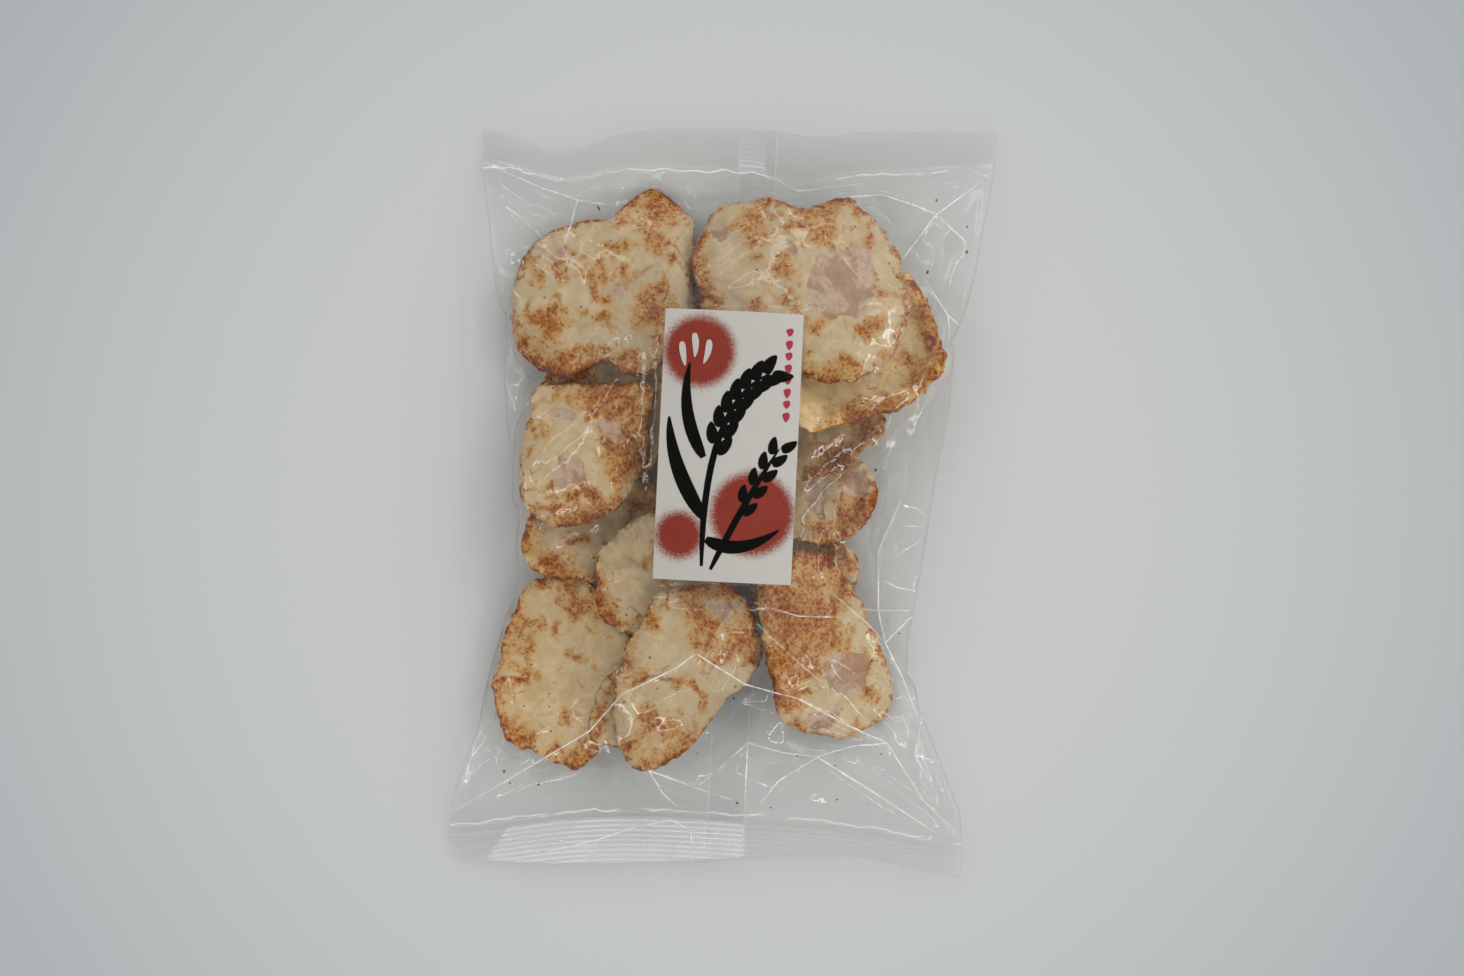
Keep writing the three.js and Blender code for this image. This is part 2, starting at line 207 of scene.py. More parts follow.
# %% Measurements of each cracker
# at: middle, mm. radii: from +X counter-clockwise in steps of 22.5 degrees. curl: rise of the
# rim along X and Y at 30 mm from the middle, below zero for a dome. lean: rise per mm along
# X and Y. browned: (x, y, radius) from the middle. windows: (x, y, half width, half height).
# lips: (direction in degrees, spread in degrees, rise in mm) of the rolled stretches of rim.
# Some crackers get a number that makes them lighter and warmer: painted light for crackers that
# lie in shade, on top of their own colour.
CRACKERS = {
    "cracker_low_left": dict(
        at=(-53, -61), radii=(23, 26, 28, 30, 32, 30, 25, 22, 22, 24, 28, 30, 33, 34, 26, 23),
        tone=1.2, thick=7, curl=(7, 5), lean=(-0.02, 0.02),
        browned=((7, 23, 5.4), (1, 27, 3.1), (3, 16, 2.7), (-2, 20, 2.7), (-12, 14, 2.7),
                 (-14, 8, 2.7), (-6, 10, 1.7), (5, 5, 2), (-15, 0, 2), (-9, -1, 2),
                 (-16, -5, 2), (13, -1, 1.7), (-18, -20, 3.8), (-12, -23, 2.4), (-3, -31, 2.7),
                 (12, -28, 2.7), (1, -18, 2.2), (-18, 17, 2.4)),
        lips=((225, 34, 3.0), (150, 50, 2.0), (300, 30, 2.0)),
        windows=()),
    "cracker_behind_right": dict(
        at=(33, -26), radii=(15, 17, 17, 16, 18, 20, 22, 22, 22, 22, 22, 22, 22, 22, 22, 17),
        thick=7, curl=(-4, -5), lean=(0.02, 0.0),
        browned=((9, 8, 4), (13, -3, 4), (10, 14, 3), (4, 14, 4)),
        windows=()),
    "cracker_crust": dict(
        at=(33, 2), radii=(20, 20, 20, 19, 18, 20, 24, 26, 26, 24, 20, 17, 16, 17, 18, 19),
        tone=1.1, thick=9, curl=(-5, -4), lean=(-0.1, 0.05),
        browned=((13, 0, 2.7), (16, -6, 5), (-2, -10, 4.5), (18, 4, 1.8), (4, 8, 2.7),
                 (11, -13, 4), (5, -12, 4), (8, -6, 3), (18, -1, 3.4)),
        lips=((315, 60, 2.5), (250, 30, 2.0)),
        windows=((13, 8, 4.8, 4.2), (0, -1, 3.1, 3.1))),
    "cracker_under_waist": dict(
        at=(-44, -13), radii=(21, 25, 26, 20, 18, 18, 18, 20, 22, 24, 22, 18, 17, 18, 18, 19),
        tone=1.12, thick=7, curl=(8, 5), lean=(0.1, 0.1),
        browned=((-13, -12, 4.6), (-18, -11, 3), (-5, -7, 2.1), (6, -8, 1.7), (6, -15, 2.7),
                 (12, -13, 2.4), (16, 8, 3.4), (14, 0, 2.8), (15, -7, 2.4), (19, 15, 2.4)),
        lips=((250, 42, 3.0), (25, 25, 3.5), (190, 25, 3.0)),
        windows=()),
    "cracker_hidden_top_left": dict(
        at=(-38, 66), radii=(24, 25, 26, 27, 26, 24, 24, 26, 27, 26, 24, 22, 22, 24, 26, 25),
        thick=7, curl=(-4, -3), lean=(0.0, 0.0), browned=((10, 18, 5), (-14, 10, 6)), windows=()),
    "cracker_hidden_top_right": dict(
        at=(8, 70), radii=(24, 24, 25, 26, 25, 24, 22, 22, 23, 24, 25, 25, 24, 24, 23, 23),
        thick=7, curl=(-4, -5), lean=(0.0, 0.0), browned=((10, 18, 5),), windows=()),
    "cracker_under_label": dict(
        at=(-19, -28), radii=(20, 20, 22, 24, 24, 23, 22, 23, 23, 23, 23, 21, 18, 18, 18, 19),
        tone=1.1, thick=7, curl=(-5, 4), lean=(0.08, 0.06),
        browned=((-15, -17, 2.4), (-17, -13, 2.1), (-21, -8, 2), (-11, -17, 2.4)),
        lips=((205, 40, 2.0),),
        windows=()),
    "cracker_lobe": dict(
        at=(-30, -72), radii=(22, 22, 20, 16, 14, 12, 11, 10, 10, 12, 16, 16, 15, 16, 18, 20),
        thick=7, curl=(-6, -4), lean=(0.15, 0.02),
        browned=((-6, 7, 3.2), (-8, -1, 3.2), (-8, -9, 3.2)),
        windows=()),
    "cracker_folded": dict(
        at=(28, 26), radii=(26, 26, 24, 22, 22, 22, 24, 24, 24, 24, 22, 20, 18, 18, 19, 21),
        tone=1.15, thick=7, curl=(6, 7), lean=(0.06, -0.1),
        browned=((20, 0, 3.4), (14, -7, 3.4), (4, -14, 3.2), (0, -17, 3.2), (9, -10, 3),
                 (24, 6, 3), (17, -13, 3), (10, -3, 2.4)),
        lips=((300, 42, 3.0),),
        windows=()),
    "cracker_dish": dict(
        at=(40, 54), radii=(33, 32, 33, 30, 28, 28, 28, 28, 28, 28, 30, 32, 27, 26, 28, 32),
        tone=1.4, thick=7, curl=(9, 8), lean=(0.02, -0.04),
        browned=((20, -5, 3.4), (28, 14, 3.6), (3, -25, 4), (12, -22, 4.4), (20, -18, 4.4),
                 (25, 20, 2.6), (30, 6, 2.6),
                 (28, -12, 2.7), (-7, -27, 3.6), (32, 1, 2)),
        lips=((295, 34, 4.0), (345, 25, 3.0), (30, 30, 2.0)),
        windows=()),
    "cracker_back_wall": dict(
        at=(-42, 20), radii=(23, 27, 33, 29, 26, 26, 28, 24, 22, 20, 20, 20, 20, 20, 20, 21),
        tone=1.2, thick=7, curl=(8, 10), lean=(0.06, 0.14),
        browned=((-16, 18, 4), (4, 18, 3), (-8, 22, 4), (14, 16, 3)),
        windows=()),
    "cracker_waist": dict(
        at=(-46, 16), radii=(21, 22, 29, 24, 21, 22, 27, 23, 23, 25, 31, 32, 26, 24, 22, 20),
        tone=1.1, thick=8, curl=(-7, -4), lean=(0.1, 0.05),
        browned=((0, 17, 4.4), (8, 15, 4.6), (13, 18, 4.8), (18, 14, 4.8), (20, 9, 4.2),
                 (-8, 19, 3.4), (15, 4, 3.6),
                 (-1, 6, 2), (-5, 14, 1.7), (-17, 3, 2.7), (-17, -6, 1.7), (-19, 6, 1.7),
                 (7, 5, 1.3), (7, 11, 1.7), (14, -1, 4.7), (11, -8, 4), (10, -11, 1.7),
                 (16, -7, 2.7), (-13, -20, 3), (-4, -18, 2), (-1, -14, 1.3), (-15, -29, 2.7),
                 (-6, -26, 2.7), (0, -25, 2.3), (6, -22, 2), (12, -18, 2), (2, 11, 3),
                 (9, 0, 3), (-11, -12, 2.2), (3, -17, 2.4)),
        lips=((75, 40, -3.0), (285, 40, -1.5), (350, 25, -2.0)),
        windows=((-10, 11, 2.7, 2.7), (10, 6, 3.7, 4.2), (-5, -7, 6, 5.5))),
    "cracker_label_lower": dict(
        at=(4, -4), radii=(17, 17, 20, 22, 22, 22, 20, 18, 18, 18, 20, 20, 20, 20, 19, 17),
        thick=8, curl=(-5, -4), lean=(0.0, 0.0), browned=((10, -12, 6),), windows=()),
    "cracker_label_upper": dict(
        at=(1, 29), radii=(14, 14, 17, 18, 18, 18, 17, 14, 14, 14, 17, 18, 18, 18, 17, 14),
        thick=7, curl=(-3, -2), lean=(0.0, 0.0), browned=((10, 12, 6),), windows=()),
    "cracker_top_left": dict(
        at=(-42, 71), radii=(29, 31, 37, 38, 25, 25, 27, 31, 33, 36, 39, 35, 26, 33, 33, 33),
        thick=8, curl=(-6, -5), lean=(0.06, -0.02),
        browned=((13, 19, 5.7), (0, 13, 4), (-13, 11, 1.7), (-15, 6, 1.7), (-25, 11, 2),
                 (-24, 3, 2.7), (-29, -1, 2), (-15, 2, 2), (-7, 7, 1.3), (-4, 4, 1.7),
                 (1, 6, 2), (6, 4, 2), (-3, -1, 1.7), (-7, 0, 1.7), (-17, -6, 1.3),
                 (-21, -14, 4.7), (-8, -8, 2), (0, -9, 2.3), (16, -6, 6), (19, -12, 3.3),
                 (19, -19, 2), (23, 11, 2.3), (16, 29, 4.3), (5, 26, 1.7), (-10, -23, 3),
                 (-2, -24, 2), (6, -22, 2.6), (9, -24, 2.6), (-20, -30, 2.7), (-27, -22, 2)),
        lips=((295, 17, 3.5), (240, 25, -2.0), (68, 20, 2.0)),
        windows=((3, 0, 3, 2.6), (-17, 11, 3, 3))),
    "cracker_top_right": dict(
        at=(23, 71), radii=(38, 37, 38, 36, 30, 35, 40, 40, 34, 32, 27, 25, 27, 34, 37, 39),
        thick=8, curl=(-6, -5), lean=(-0.04, 0.0),
        browned=((-15, 21, 4.7), (-14, 15, 3), (-19, 26, 2.7), (-4, 21, 2.7), (1, 23, 2),
                 (5, 25, 2.3), (10, 28, 2.7), (2, 18, 1.3), (-7, 5, 4), (-28, -2, 2.7),
                 (-2, -5, 3), (-14, -7, 2.7), (7, -10, 3), (26, -11, 2.7), (22, 20, 2.3),
                 (24, 15, 1.7), (25, 7, 1.7), (30, 3, 3), (15, -25, 3), (3, -20, 1.7),
                 (11, -30, 2), (29, -19, 1.7), (-35, 6, 3), (-38, 21, 2.3), (-32, 8, 1.7),
                 (-34, 19, 1.7), (17, 13, 3.6), (-36, 13, 3.4), (-34, 0, 3), (10, 22, 3)),
        lips=((285, 25, 1.5), (180, 20, 2.0), (75, 25, -1.5)),
        windows=((14, 5, 12, 14), (-27, 21, 3.3, 3), (-4, 14, 3.3, 3))),
    "cracker_low_middle": dict(
        at=(-8, -60), radii=(22, 26, 30, 33, 30, 30, 24, 24, 24, 28, 33, 37, 27, 19, 16, 17),
        thick=8, curl=(-7, -4), lean=(0.05, 0.08),
        browned=((2, 28, 5.3), (4, 17, 4.7), (7, 13, 2.7), (-2, 31, 2.7), (13, 30, 3.3),
                 (13, 6, 3), (17, 11, 4.7), (22, 4, 2.3), (-13, 19, 2.7), (-10, 16, 2),
                 (-16, -2, 3), (-4, -1, 2.3), (2, -6, 2.7), (-10, -16, 5.3), (-18, -24, 2.7),
                 (-4, -24, 2), (-11, -30, 2.7), (5, -9, 2)),
        lips=((160, 40, -2.0), (45, 30, -1.5), (265, 30, 1.5)),
        windows=((12, 20, 4, 4),)),
    "cracker_low_right": dict(
        at=(35, -47), radii=(22, 19, 20, 23, 30, 32, 29, 22, 19, 19, 21, 28, 33, 37, 37, 29),
        tone=1.06, thick=8, curl=(-7, -4), lean=(-0.02, 0.06),
        browned=((-16, 15, 4.7), (-7, 14, 5.4), (-3, 29, 3.4), (-8, 27, 4), (-10, 3, 5.4),
                 (-15, 7, 4), (-1, -3, 4), (-13, -3, 3.4), (-2, -11, 3), (-9, -18, 3),
                 (-10, -22, 3), (-4, -28, 2), (6, 1, 2.7), (17, -20, 2.7), (23, -22, 1.3),
                 (14, -30, 2.7), (15, -8, 2.3), (12, -15, 2), (-5, 8, 5.5), (3, 14, 4.5),
                 (4, 26, 4), (-6, -8, 4.5), (3, 5, 4), (10, 20, 3)),
        lips=((95, 45, -2.0), (215, 30, 1.5)),
        windows=((10, -10, 7.2, 9.8), (3, -25, 5, 3.4))),
}
print(len(CRACKERS), "crackers")

# %% [markdown]
# One function makes a cracker. It works on arrays of points, because every point of the
# sphere is moved by the same few rules. Three masks are kept on the mesh for the material:
# "browned" and "window" from the lists above, and "rim" from the distance to the edge. A
# fourth makes a whole cracker lighter and warmer. That is painted light: it lifts crackers that
# lie in shade, low in the pile or under others, besides some difference in colour between
# crackers.

# %% The function that shapes one cracker
SEGMENTS, RINGS = 192, 96
CURL_AT = 30.0
# Thickness before the swell, and how blunt the edge is: 1 is a ball's, 0 a box's.
FULLNESS, BLUNTNESS = 0.68, 0.55
# Layers of noise: (height, size in mm, number added to the seed). The edge's are in shares.
EDGE_NOISE = ((0.06, 1.3, 0), (0.03, 0.3, 50))
WARP_NOISE = ((4.6, 27, 9), (2.4, 13, 3))
WANDER_NOISE = ((6.5, 11, 0), (2.4, 3.6, 2))
FRILL, WRINKLE_WIDTH = 1.8, 0.05
# How far browned crust stands up, and windows and wrinkles sink in.
BROWN_RISE, WINDOW_SINK, WRINKLE_SINK = 0.3, 0.6, 1.1
# Lumps: (seed, size in mm, height, whether on the crumbly rim alone).
LUMPS = ((0, 10, 2.2, ""), (7, 4, 0.5, ""), (11, 1.5, 0.9, "crumbly"))


def outline_radius(angle, radii):
    """A smooth closed outline through evenly spaced radii (a Catmull-Rom curve)."""
    r = np.array(radii, dtype=float)
    place = angle / (2 * math.pi) * len(r)
    k = np.floor(place).astype(int)
    t = place - k
    a, b, c, d = (r[(k + i) % len(r)] for i in (-1, 0, 1, 2))
    return b + 0.5 * t * (c - a + t * (2 * a - 5 * b + 4 * c - d + t * (3 * (b - c) + d - a)))


def value_noise(points, size, seed):
    """Soft noise of a given size in mm at an array of points."""
    offset = Vector((seed * 13.7, seed * 5.1, seed * 8.3))
    return np.array([noise.noise(Vector(p) / size + offset) for p in points])


def layered_noise(points, layers, seed, start=0.0):
    for height, size, more in layers:
        start = start + height * value_noise(points, size, seed + more)
    return start


def displace(obj, seed, size, height, group):
    """Adds lumps of one size along the normals with a Displace modifier, and applies it."""
    texture = bpy.data.textures.new("lumps", "CLOUDS")
    texture.noise_scale = size * MM
    shifter = bpy.data.objects.new("shifter", None)
    scene.collection.objects.link(shifter)
    shifter.location = (seed * 0.31, seed * 0.17, seed * 0.23)
    apply_modifier(obj, "DISPLACE", texture=texture, texture_coords="OBJECT",
                   texture_coords_object=shifter, mid_level=0.5, strength=height * MM,
                   vertex_group=group)
    bpy.data.objects.remove(shifter)
    bpy.data.textures.remove(texture)


def make_cracker(name, seed, at, radii, thick, curl, lean, browned, windows, lips=(), tone=1.0):
    bpy.ops.mesh.primitive_uv_sphere_add(segments=SEGMENTS, ring_count=RINGS, radius=MM)
    obj = bpy.context.object
    obj.name = name
    ball = get_points(obj)
    angle = np.arctan2(ball[:, 1], ball[:, 0]) % (2 * math.pi)
    share = np.clip(np.hypot(ball[:, 0], ball[:, 1]), 0, 1)
    spoke = np.rint(angle / (2 * math.pi) * SEGMENTS).astype(int) % SEGMENTS
    turn = np.arange(SEGMENTS) * 2 * math.pi / SEGMENTS
    way = np.stack([np.cos(turn) * 4, np.sin(turn) * 4, np.zeros_like(turn)], axis=-1)
    ragged = layered_noise(way, EDGE_NOISE, seed, start=1)[spoke]
    reach = outline_radius(angle, radii) * ragged * share
    x, y = reach * np.cos(angle), reach * np.sin(angle)
    # Two faces that stay apart to the rim: thin at the middle, fuller just inside the edge.
    swell = 1 - 0.25 * (1 - share ** 2) + 0.35 * smooth_step(share, 0.6, 0.9)
    z = thick / 2 * FULLNESS * np.sign(ball[:, 2]) * np.abs(ball[:, 2]) ** BLUNTNESS * swell
    # The curl, the lean and a few broad warps bend both faces alike.
    spot = np.stack([x, y, np.zeros_like(x)], axis=-1)
    warp = layered_noise(spot, WARP_NOISE, seed)
    z += curl[0] * (x / CURL_AT) ** 2 + curl[1] * (y / CURL_AT) ** 2
    z += lean[0] * x + lean[1] * y + warp * smooth_step(share, 0.1, 0.9)
    # The edge is frilled, as the dough sets while it ripples.
    z += FRILL * smooth_step(share, 0.7, 1.0) * value_noise(way, 0.5, seed + 21)[spoke]
    # Where the rim has rolled over it stands up or hangs down, and it is fried darker.
    lip_brown = np.zeros_like(x)
    for degrees, spread, rise in lips:
        turned = (np.degrees(angle) - degrees + 180) % 360 - 180
        lip = np.exp(-(turned / spread) ** 2) * smooth_step(share, 0.66, 0.97)
        z += rise * lip
        lip_brown = np.maximum(lip_brown, lip)
    # Stains and blisters have wandering edges, so they are laid out in a warped plane.
    wander = [layered_noise(spot, WANDER_NOISE, seed + k) for k in (31, 37)]
    wx, wy = x + wander[0], y + wander[1]
    top = smooth_step(ball[:, 2], -0.2, 0.1)
    level = value_noise(np.stack([wx, wy, np.zeros_like(x)], axis=-1), 24, seed + 61)
    wrinkle = np.exp(-(level / WRINKLE_WIDTH) ** 2)
    wrinkle *= smooth_step(value_noise(spot, 15, seed + 5), -0.2, 0.3)
    window = np.zeros_like(x)
    for at_x, at_y, half_wide, half_high in windows:
        away = np.hypot((x - at_x + 0.8 * wander[0]) / half_wide,
                        (y - at_y + 0.8 * wander[1]) / half_high)
        window = np.maximum(window, 1 - smooth_step(away, 0.9, 1.1))
    clean = np.ones_like(x)
    for at_x, at_y, radius in browned:
        away = np.hypot(wx - at_x, wy - at_y) / (1.25 * radius)
        clean *= 1 - 0.85 * np.exp(-away ** 2)
    clean *= (1 - 0.5 * wrinkle) * (1 - 0.7 * lip_brown)
    z += (BROWN_RISE * (1 - clean) - WINDOW_SINK * window
          - WRINKLE_SINK * wrinkle * (1 - window)) * top
    set_points(obj, np.stack([x + at[0], y + at[1], z], axis=-1))
    add_mask(obj, "browned", (1 - clean) * top)
    add_mask(obj, "window", window * top)
    # Painted light: a mask that lightens and warms the whole cracker where it lies in shade.
    add_mask(obj, "tone", np.full(len(x), tone))
    rim = smooth_step(share, 0.76, 1.0)
    add_mask(obj, "rim", rim + 0.12 * (1 - top) + 0.15 * lip_brown)
    crumbly = obj.vertex_groups.new(name="crumbly")
    for index in np.flatnonzero(rim > 0.05):
        crumbly.add([int(index)], float(rim[index]), "REPLACE")
    for more, size, height, group in LUMPS:
        displace(obj, seed + more, size, height, group)
    bpy.ops.object.shade_smooth()
    return obj


# %% [markdown]
# ## The pile
#
# The crackers go into the pack one after the other, lowest first. A height map of the pile
# says how far each one can come down before it touches what already lies there, so they rest
# on each other without cutting in.

# %% Stack the crackers
CELL = 1.5
MAP_HALF = (95, 140)
MAP_SIZE = tuple(int(2 * half / CELL) for half in MAP_HALF)
FLOOR_GAP = 0.8
REST_GAP = 0.15
STEEPEST = 0.28
NO_CRACKER = 20.0


def cells_of(points):
    """The height-map cell of each point."""
    return tuple(np.clip(((points[:, k] + MAP_HALF[k]) / CELL).astype(int), 0, MAP_SIZE[k] - 1)
                 for k in (0, 1))


def cell_middles(size=MAP_SIZE, cell=CELL):
    """X and Y of the middle of each cell."""
    return [(index + 0.5) * cell - half for index, half in zip(np.indices(size), MAP_HALF)]


def settle(points, middle, pile_top):
    """Leans and lowers a cracker until it can't come down any further."""
    i, j = cells_of(points)
    underside = np.full(MAP_SIZE, np.inf)
    np.minimum.at(underside, (i, j), points[:, 2])
    held = np.isfinite(underside)
    away_x, away_y = (place[held] - at for place, at in zip(cell_middles(), middle))
    need = pile_top[held] - underside[held]
    best, step = (0.0, 0.0), STEEPEST / 2
    while step > 0.005:
        tries = [(best[0] + a * step, best[1] + b * step) for a in (-1, 0, 1) for b in (-1, 0, 1)]
        tries = [t for t in tries if max(map(abs, t)) <= STEEPEST]
        height = [np.max(need - t[0] * away_x - t[1] * away_y) for t in tries]
        found = tries[int(np.argmin(height))]
        step = step if found != best else step / 2
        best = found
    lift = np.max(need - best[0] * away_x - best[1] * away_y) + REST_GAP
    points[:, 2] += lift + (points[:, :2] - middle) @ best
    return best


pile_top = np.full(MAP_SIZE, FLOOR_GAP)
pile_bottom = np.full(MAP_SIZE, NO_CRACKER)
crackers = []
for number, (name, facts) in enumerate(CRACKERS.items()):
    piece = make_cracker(name, number + 1, **facts)
    points = get_points(piece)
    leaned = settle(points, facts["at"], pile_top)
    i, j = cells_of(points)
    set_points(piece, points)
    np.maximum.at(pile_top, (i, j), points[:, 2])
    np.minimum.at(pile_bottom, (i, j), points[:, 2])
    crackers.append(piece)
    print(f"{name}: {points[:, 2].min():.1f} to {points[:, 2].max():.1f} mm high,",
          f"leaning {leaned[0]:.2f}, {leaned[1]:.2f}")

# %% [markdown]
# ## The crust
#
# Fried rice dough is a dense foam: cream where it is clean, golden to dark brown where soy
# sauce has caught. Its colour comes in layers. Broad noise shifts the cream, the "browned"
# mask broken up by fine noise gives speckled blotches, small dots fleck the rest, the rim is
# scorched, and the windows are a greyish pink, because one looks through a thin skin there.
# A little subsurface light keeps it from looking like clay.

# %% Material of the crackers
# Noise patterns: size in mm, detail, distortion.
NOISES = {"blotch": (12, 3, 1.3), "cloud": (3.4, 5, 0.4), "speck": (0.9, 4, 0.0),
          "vein": (17, 2, 0.8), "stretch": (13, 1, 0.0)}
BUBBLE_SPACING, FLECK_SPACING, FLECK_SIZE = 1.3, 4.2, 0.15
# Layers of glaze, lowest first: the patterns that are added up with their weights, where the
# sum starts and stops to rise, how strong the tint gets, and the tint.
GLAZE = (
    ({"browned": 1.0, "blotch": 1.7, "cloud": 1.2}, 1.5, 2.1, 0.7, "#bb842a"),
    ({"rim": 1.1, "blotch": 2.8, "cloud": 1.6, "grain": 1.4}, 3.6, 4.3, 0.8, "#a55f1a"),
    ({"browned": 1.0, "blotch": 1.2, "cloud": 1.6, "grain": 0.9}, 2.3, 2.9, 0.6, "#a6641f"),
    ({"browned": 0.85, "blotch": 1.0, "cloud": 0.8, "grain": 1.9}, 2.2, 2.8, 0.8, "#974c12"),
    ({"crack": 1.0}, 0.0, 1.0, 0.45, "#94602c"),
    ({"browned": 1.0, "blotch": 0.5, "cloud": 0.9, "grain": 2.0}, 2.65, 3.0, 0.88, "#742c04"),
    ({"fleck": 1.0}, 0.0, 1.0, 0.8, "#8a420f"),
    ({"rim": 1.3, "blotch": 1.6, "cloud": 1.6, "grain": 2.0}, 3.95, 4.4, 0.85, "#6b2f0e"),
)


def fried_crust():
    material = bpy.data.materials.new("fried rice dough, soy glazed")
    add = node_adder(material)
    place = add("TexCoord")["Object"]
    pattern = {name: add("Attribute", {"attribute_name": name})["Fac"]
               for name in ("browned", "rim", "window", "tone")}
    for name, (size, detail, distortion) in NOISES.items():
        pattern[name] = add("TexNoise", None, {"Vector": place, "Scale": 1 / (size * MM),
                            "Detail": detail, "Roughness": 0.6, "Distortion": distortion})["Fac"]

    def total(weights, start=0.0):
        """The sum of patterns by their weights."""
        for name, weight in weights.items():
            start = add("Math", MULTIPLY_ADD, {0: pattern[name], 1: weight, 2: start})[0]
        return start

    def risen(weights, low, high, most=1.0):
        """How far a sum of patterns has risen from low to high, up to most."""
        return add("MapRange", SMOOTH, {"Value": total(weights), "From Min": low,
                   "From Max": high, "To Max": most})["Result"]

    bubbles = add("TexVoronoi", {"feature": "SMOOTH_F1"}, {"Vector": place,
                  "Scale": 1 / (BUBBLE_SPACING * MM), "Smoothness": 0.4})
    pattern["bubble"] = bubbles["Distance"]
    pattern["grain"] = total({"speck": 0.75, "bubble": -0.45}, 0.35)
    pattern["rim"] = add("Math", MULTIPLY, {0: pattern["rim"], 1: pattern["rim"]})[0]

    # Hairline cracks run where a slow noise crosses its middle, and glaze gathers along them.
    pattern["off_vein"] = add("Math", {"operation": "ABSOLUTE"}, {0: total({"vein": 1}, -0.5)})[0]
    here = risen({"stretch": 1}, 0.52, 0.6)
    for name, low, high in (("crack", 0.007, 0.002), ("glazed", 0.05, 0.0)):
        pattern[name] = add("Math", MULTIPLY, {0: risen({"off_vein": 1}, low, high), 1: here})[0]
    pattern["browned"] = total({"browned": 1, "glazed": 0.35})
    flecks = add("TexVoronoi", None, {"Vector": place, "Scale": 1 / (FLECK_SPACING * MM)})
    pattern["size"] = add("SeparateColor", None, {"Color": flecks["Color"]})["Red"]
    pattern["fleck"] = add("Math", {"operation": "LESS_THAN"},
                           {0: flecks["Distance"], 1: total({"size": FLECK_SIZE})})[0]
    pattern["window"] = risen({"window": 1}, 0.35, 0.65)
    off_window = total({"window": -0.75}, 1.0)
    pattern["edge"] = add("Math", MULTIPLY,
                          {0: pattern["window"], 1: total({"window": -1}, 1.0)})[0]

    # The dough, and the thin skin of its blisters.
    cream = add("Mix", BLEND, {0: risen({"blotch": 1}, 0.35, 0.65), 6: linear("#bca480"),
                7: linear("#c9b696")})[2]
    cream = add("Mix", BLEND, {0: risen({"cloud": 1}, 0.45, 0.7, 0.5), 6: cream,
                7: linear("#bc9f70")})[2]
    # Painted light: the cream is lightened and warmed on crackers that lie in shade.
    cream = add("HueSaturation", None, {"Value": total({"tone": 0.6}, 0.4),
                "Saturation": total({"tone": 0.5}, 0.5), "Color": cream})["Color"]
    skin = add("Mix", BLEND, {0: risen({"cloud": 1}, 0.4, 0.65), 6: linear("#bfa48c"),
               7: linear("#ab8c74")})[2]
    skin = add("Mix", BLEND, {0: risen({"blotch": 1}, 0.5, 0.56, 0.5), 6: skin,
               7: linear("#8a5f40")})[2]
    colour = add("Mix", BLEND, {0: pattern["window"], 6: cream, 7: skin})[2]
    for weights, low, high, strength, tint in GLAZE:
        share = add("Math", MULTIPLY, {0: risen(weights, low, high, strength), 1: off_window})[0]
        colour = add("Mix", BLEND, {0: share, 6: colour, 7: linear(tint)})[2]
    # Painted light again: the whole colour is lightened on crackers that lie in shade.
    colour = add("HueSaturation", None, {"Value": total({"tone": 0.4}, 0.6),
                 "Color": colour})["Color"]
    edge = risen({"edge": 3.0, "blotch": 1.5, "cloud": 1.2}, 1.9, 2.4, 0.6)
    colour = add("Mix", BLEND, {0: edge, 6: colour, 7: linear("#7a441c")})[2]

    bump = add("Bump", None, {"Strength": 0.35, "Distance": 0.3 * MM,
               "Height": total({"bubble": -0.3, "grain": 1.0})})[0]
    dough = add("BsdfPrincipled", None, {"Base Color": colour, "Normal": bump, "IOR": 1.45,
                "Roughness": total({"window": -0.22}, 0.6), "Specular IOR Level": 0.35,
                "Subsurface Weight": 0.15, "Subsurface Radius": (1.0, 0.6, 0.3),
                "Subsurface Scale": 0.8 * MM})[0]
    add("OutputMaterial", None, {"Surface": dough})
    return material


crust = fried_crust()
for piece in crackers:
    piece.data.materials.append(crust)

# %% [markdown]
# ## The film
#
# The bag is a tube of clear film, sealed across both ends. Pressed flat it is a plain
# rectangle. Filled, its seals stay as wide as they were while its waist is drawn in, and the
# film creases between the two. No formula draws such creases well, so the film is simulated.
#
# Two grids of one size, a front and a back sheet, are shaped to the pack's real outline, laid
# as a tent over the pile, joined and merged round the edge. The seals are held, the sides
# and the back are held softly, and Blender's Cloth lets the rest take the size of the flat
# tube, which is kept as a shape key: the film has more width than it needs and buckles into
# folds. Cloth likes big things, so this happens at ten times the real size.

# %% Measurements of the bag
TUBE_HALF = 90.0
FLAT_LENGTH = 233.0
SEAL_WIDTHS = (19.0, 15.0)
BAND_LIFT, BAND_DROOP = 8.0, 4.0
AIR_HEIGHT, END_RUN = 22.0, 34.0
CORNER_RADIUS = 9.0
# How far each side is drawn in, where, how softly, and the height of its fold.
WAIST = {"left": (19.0, -22.0, 12.0, 12.0), "right": (20.0, -48.0, 20.0, 7.0)}
# Seal lines: height at the middle, tilt, and draws as (x, depth, reach left, reach right).
TOP_EDGE = (129.0, 3.4, ((-62, -8.5, 15, 17), (27, -2.5, 12, 14)))
TOP_LINE = (113.5, 1.6, ((-60, -5, 14, 14), (21, -4.5, 9, 14), (92, 4, 30, 30)))
BOTTOM_LINE = (-108.5, 0.0, ((-95, -9.5, 40, 40), (95, -7, 40, 40)))
BOTTOM_EDGE = (-130.0, 1.3, ((48, 7, 60, 28),))
# The label: its middle, its size, and the height of the film under its middle.
LABEL_AT, LABEL_SIZE = (1.6, 17.7), (46.0, 90.0)
LABEL_TOP, LABEL_DROP = 41.0, (2.7, 3.0)


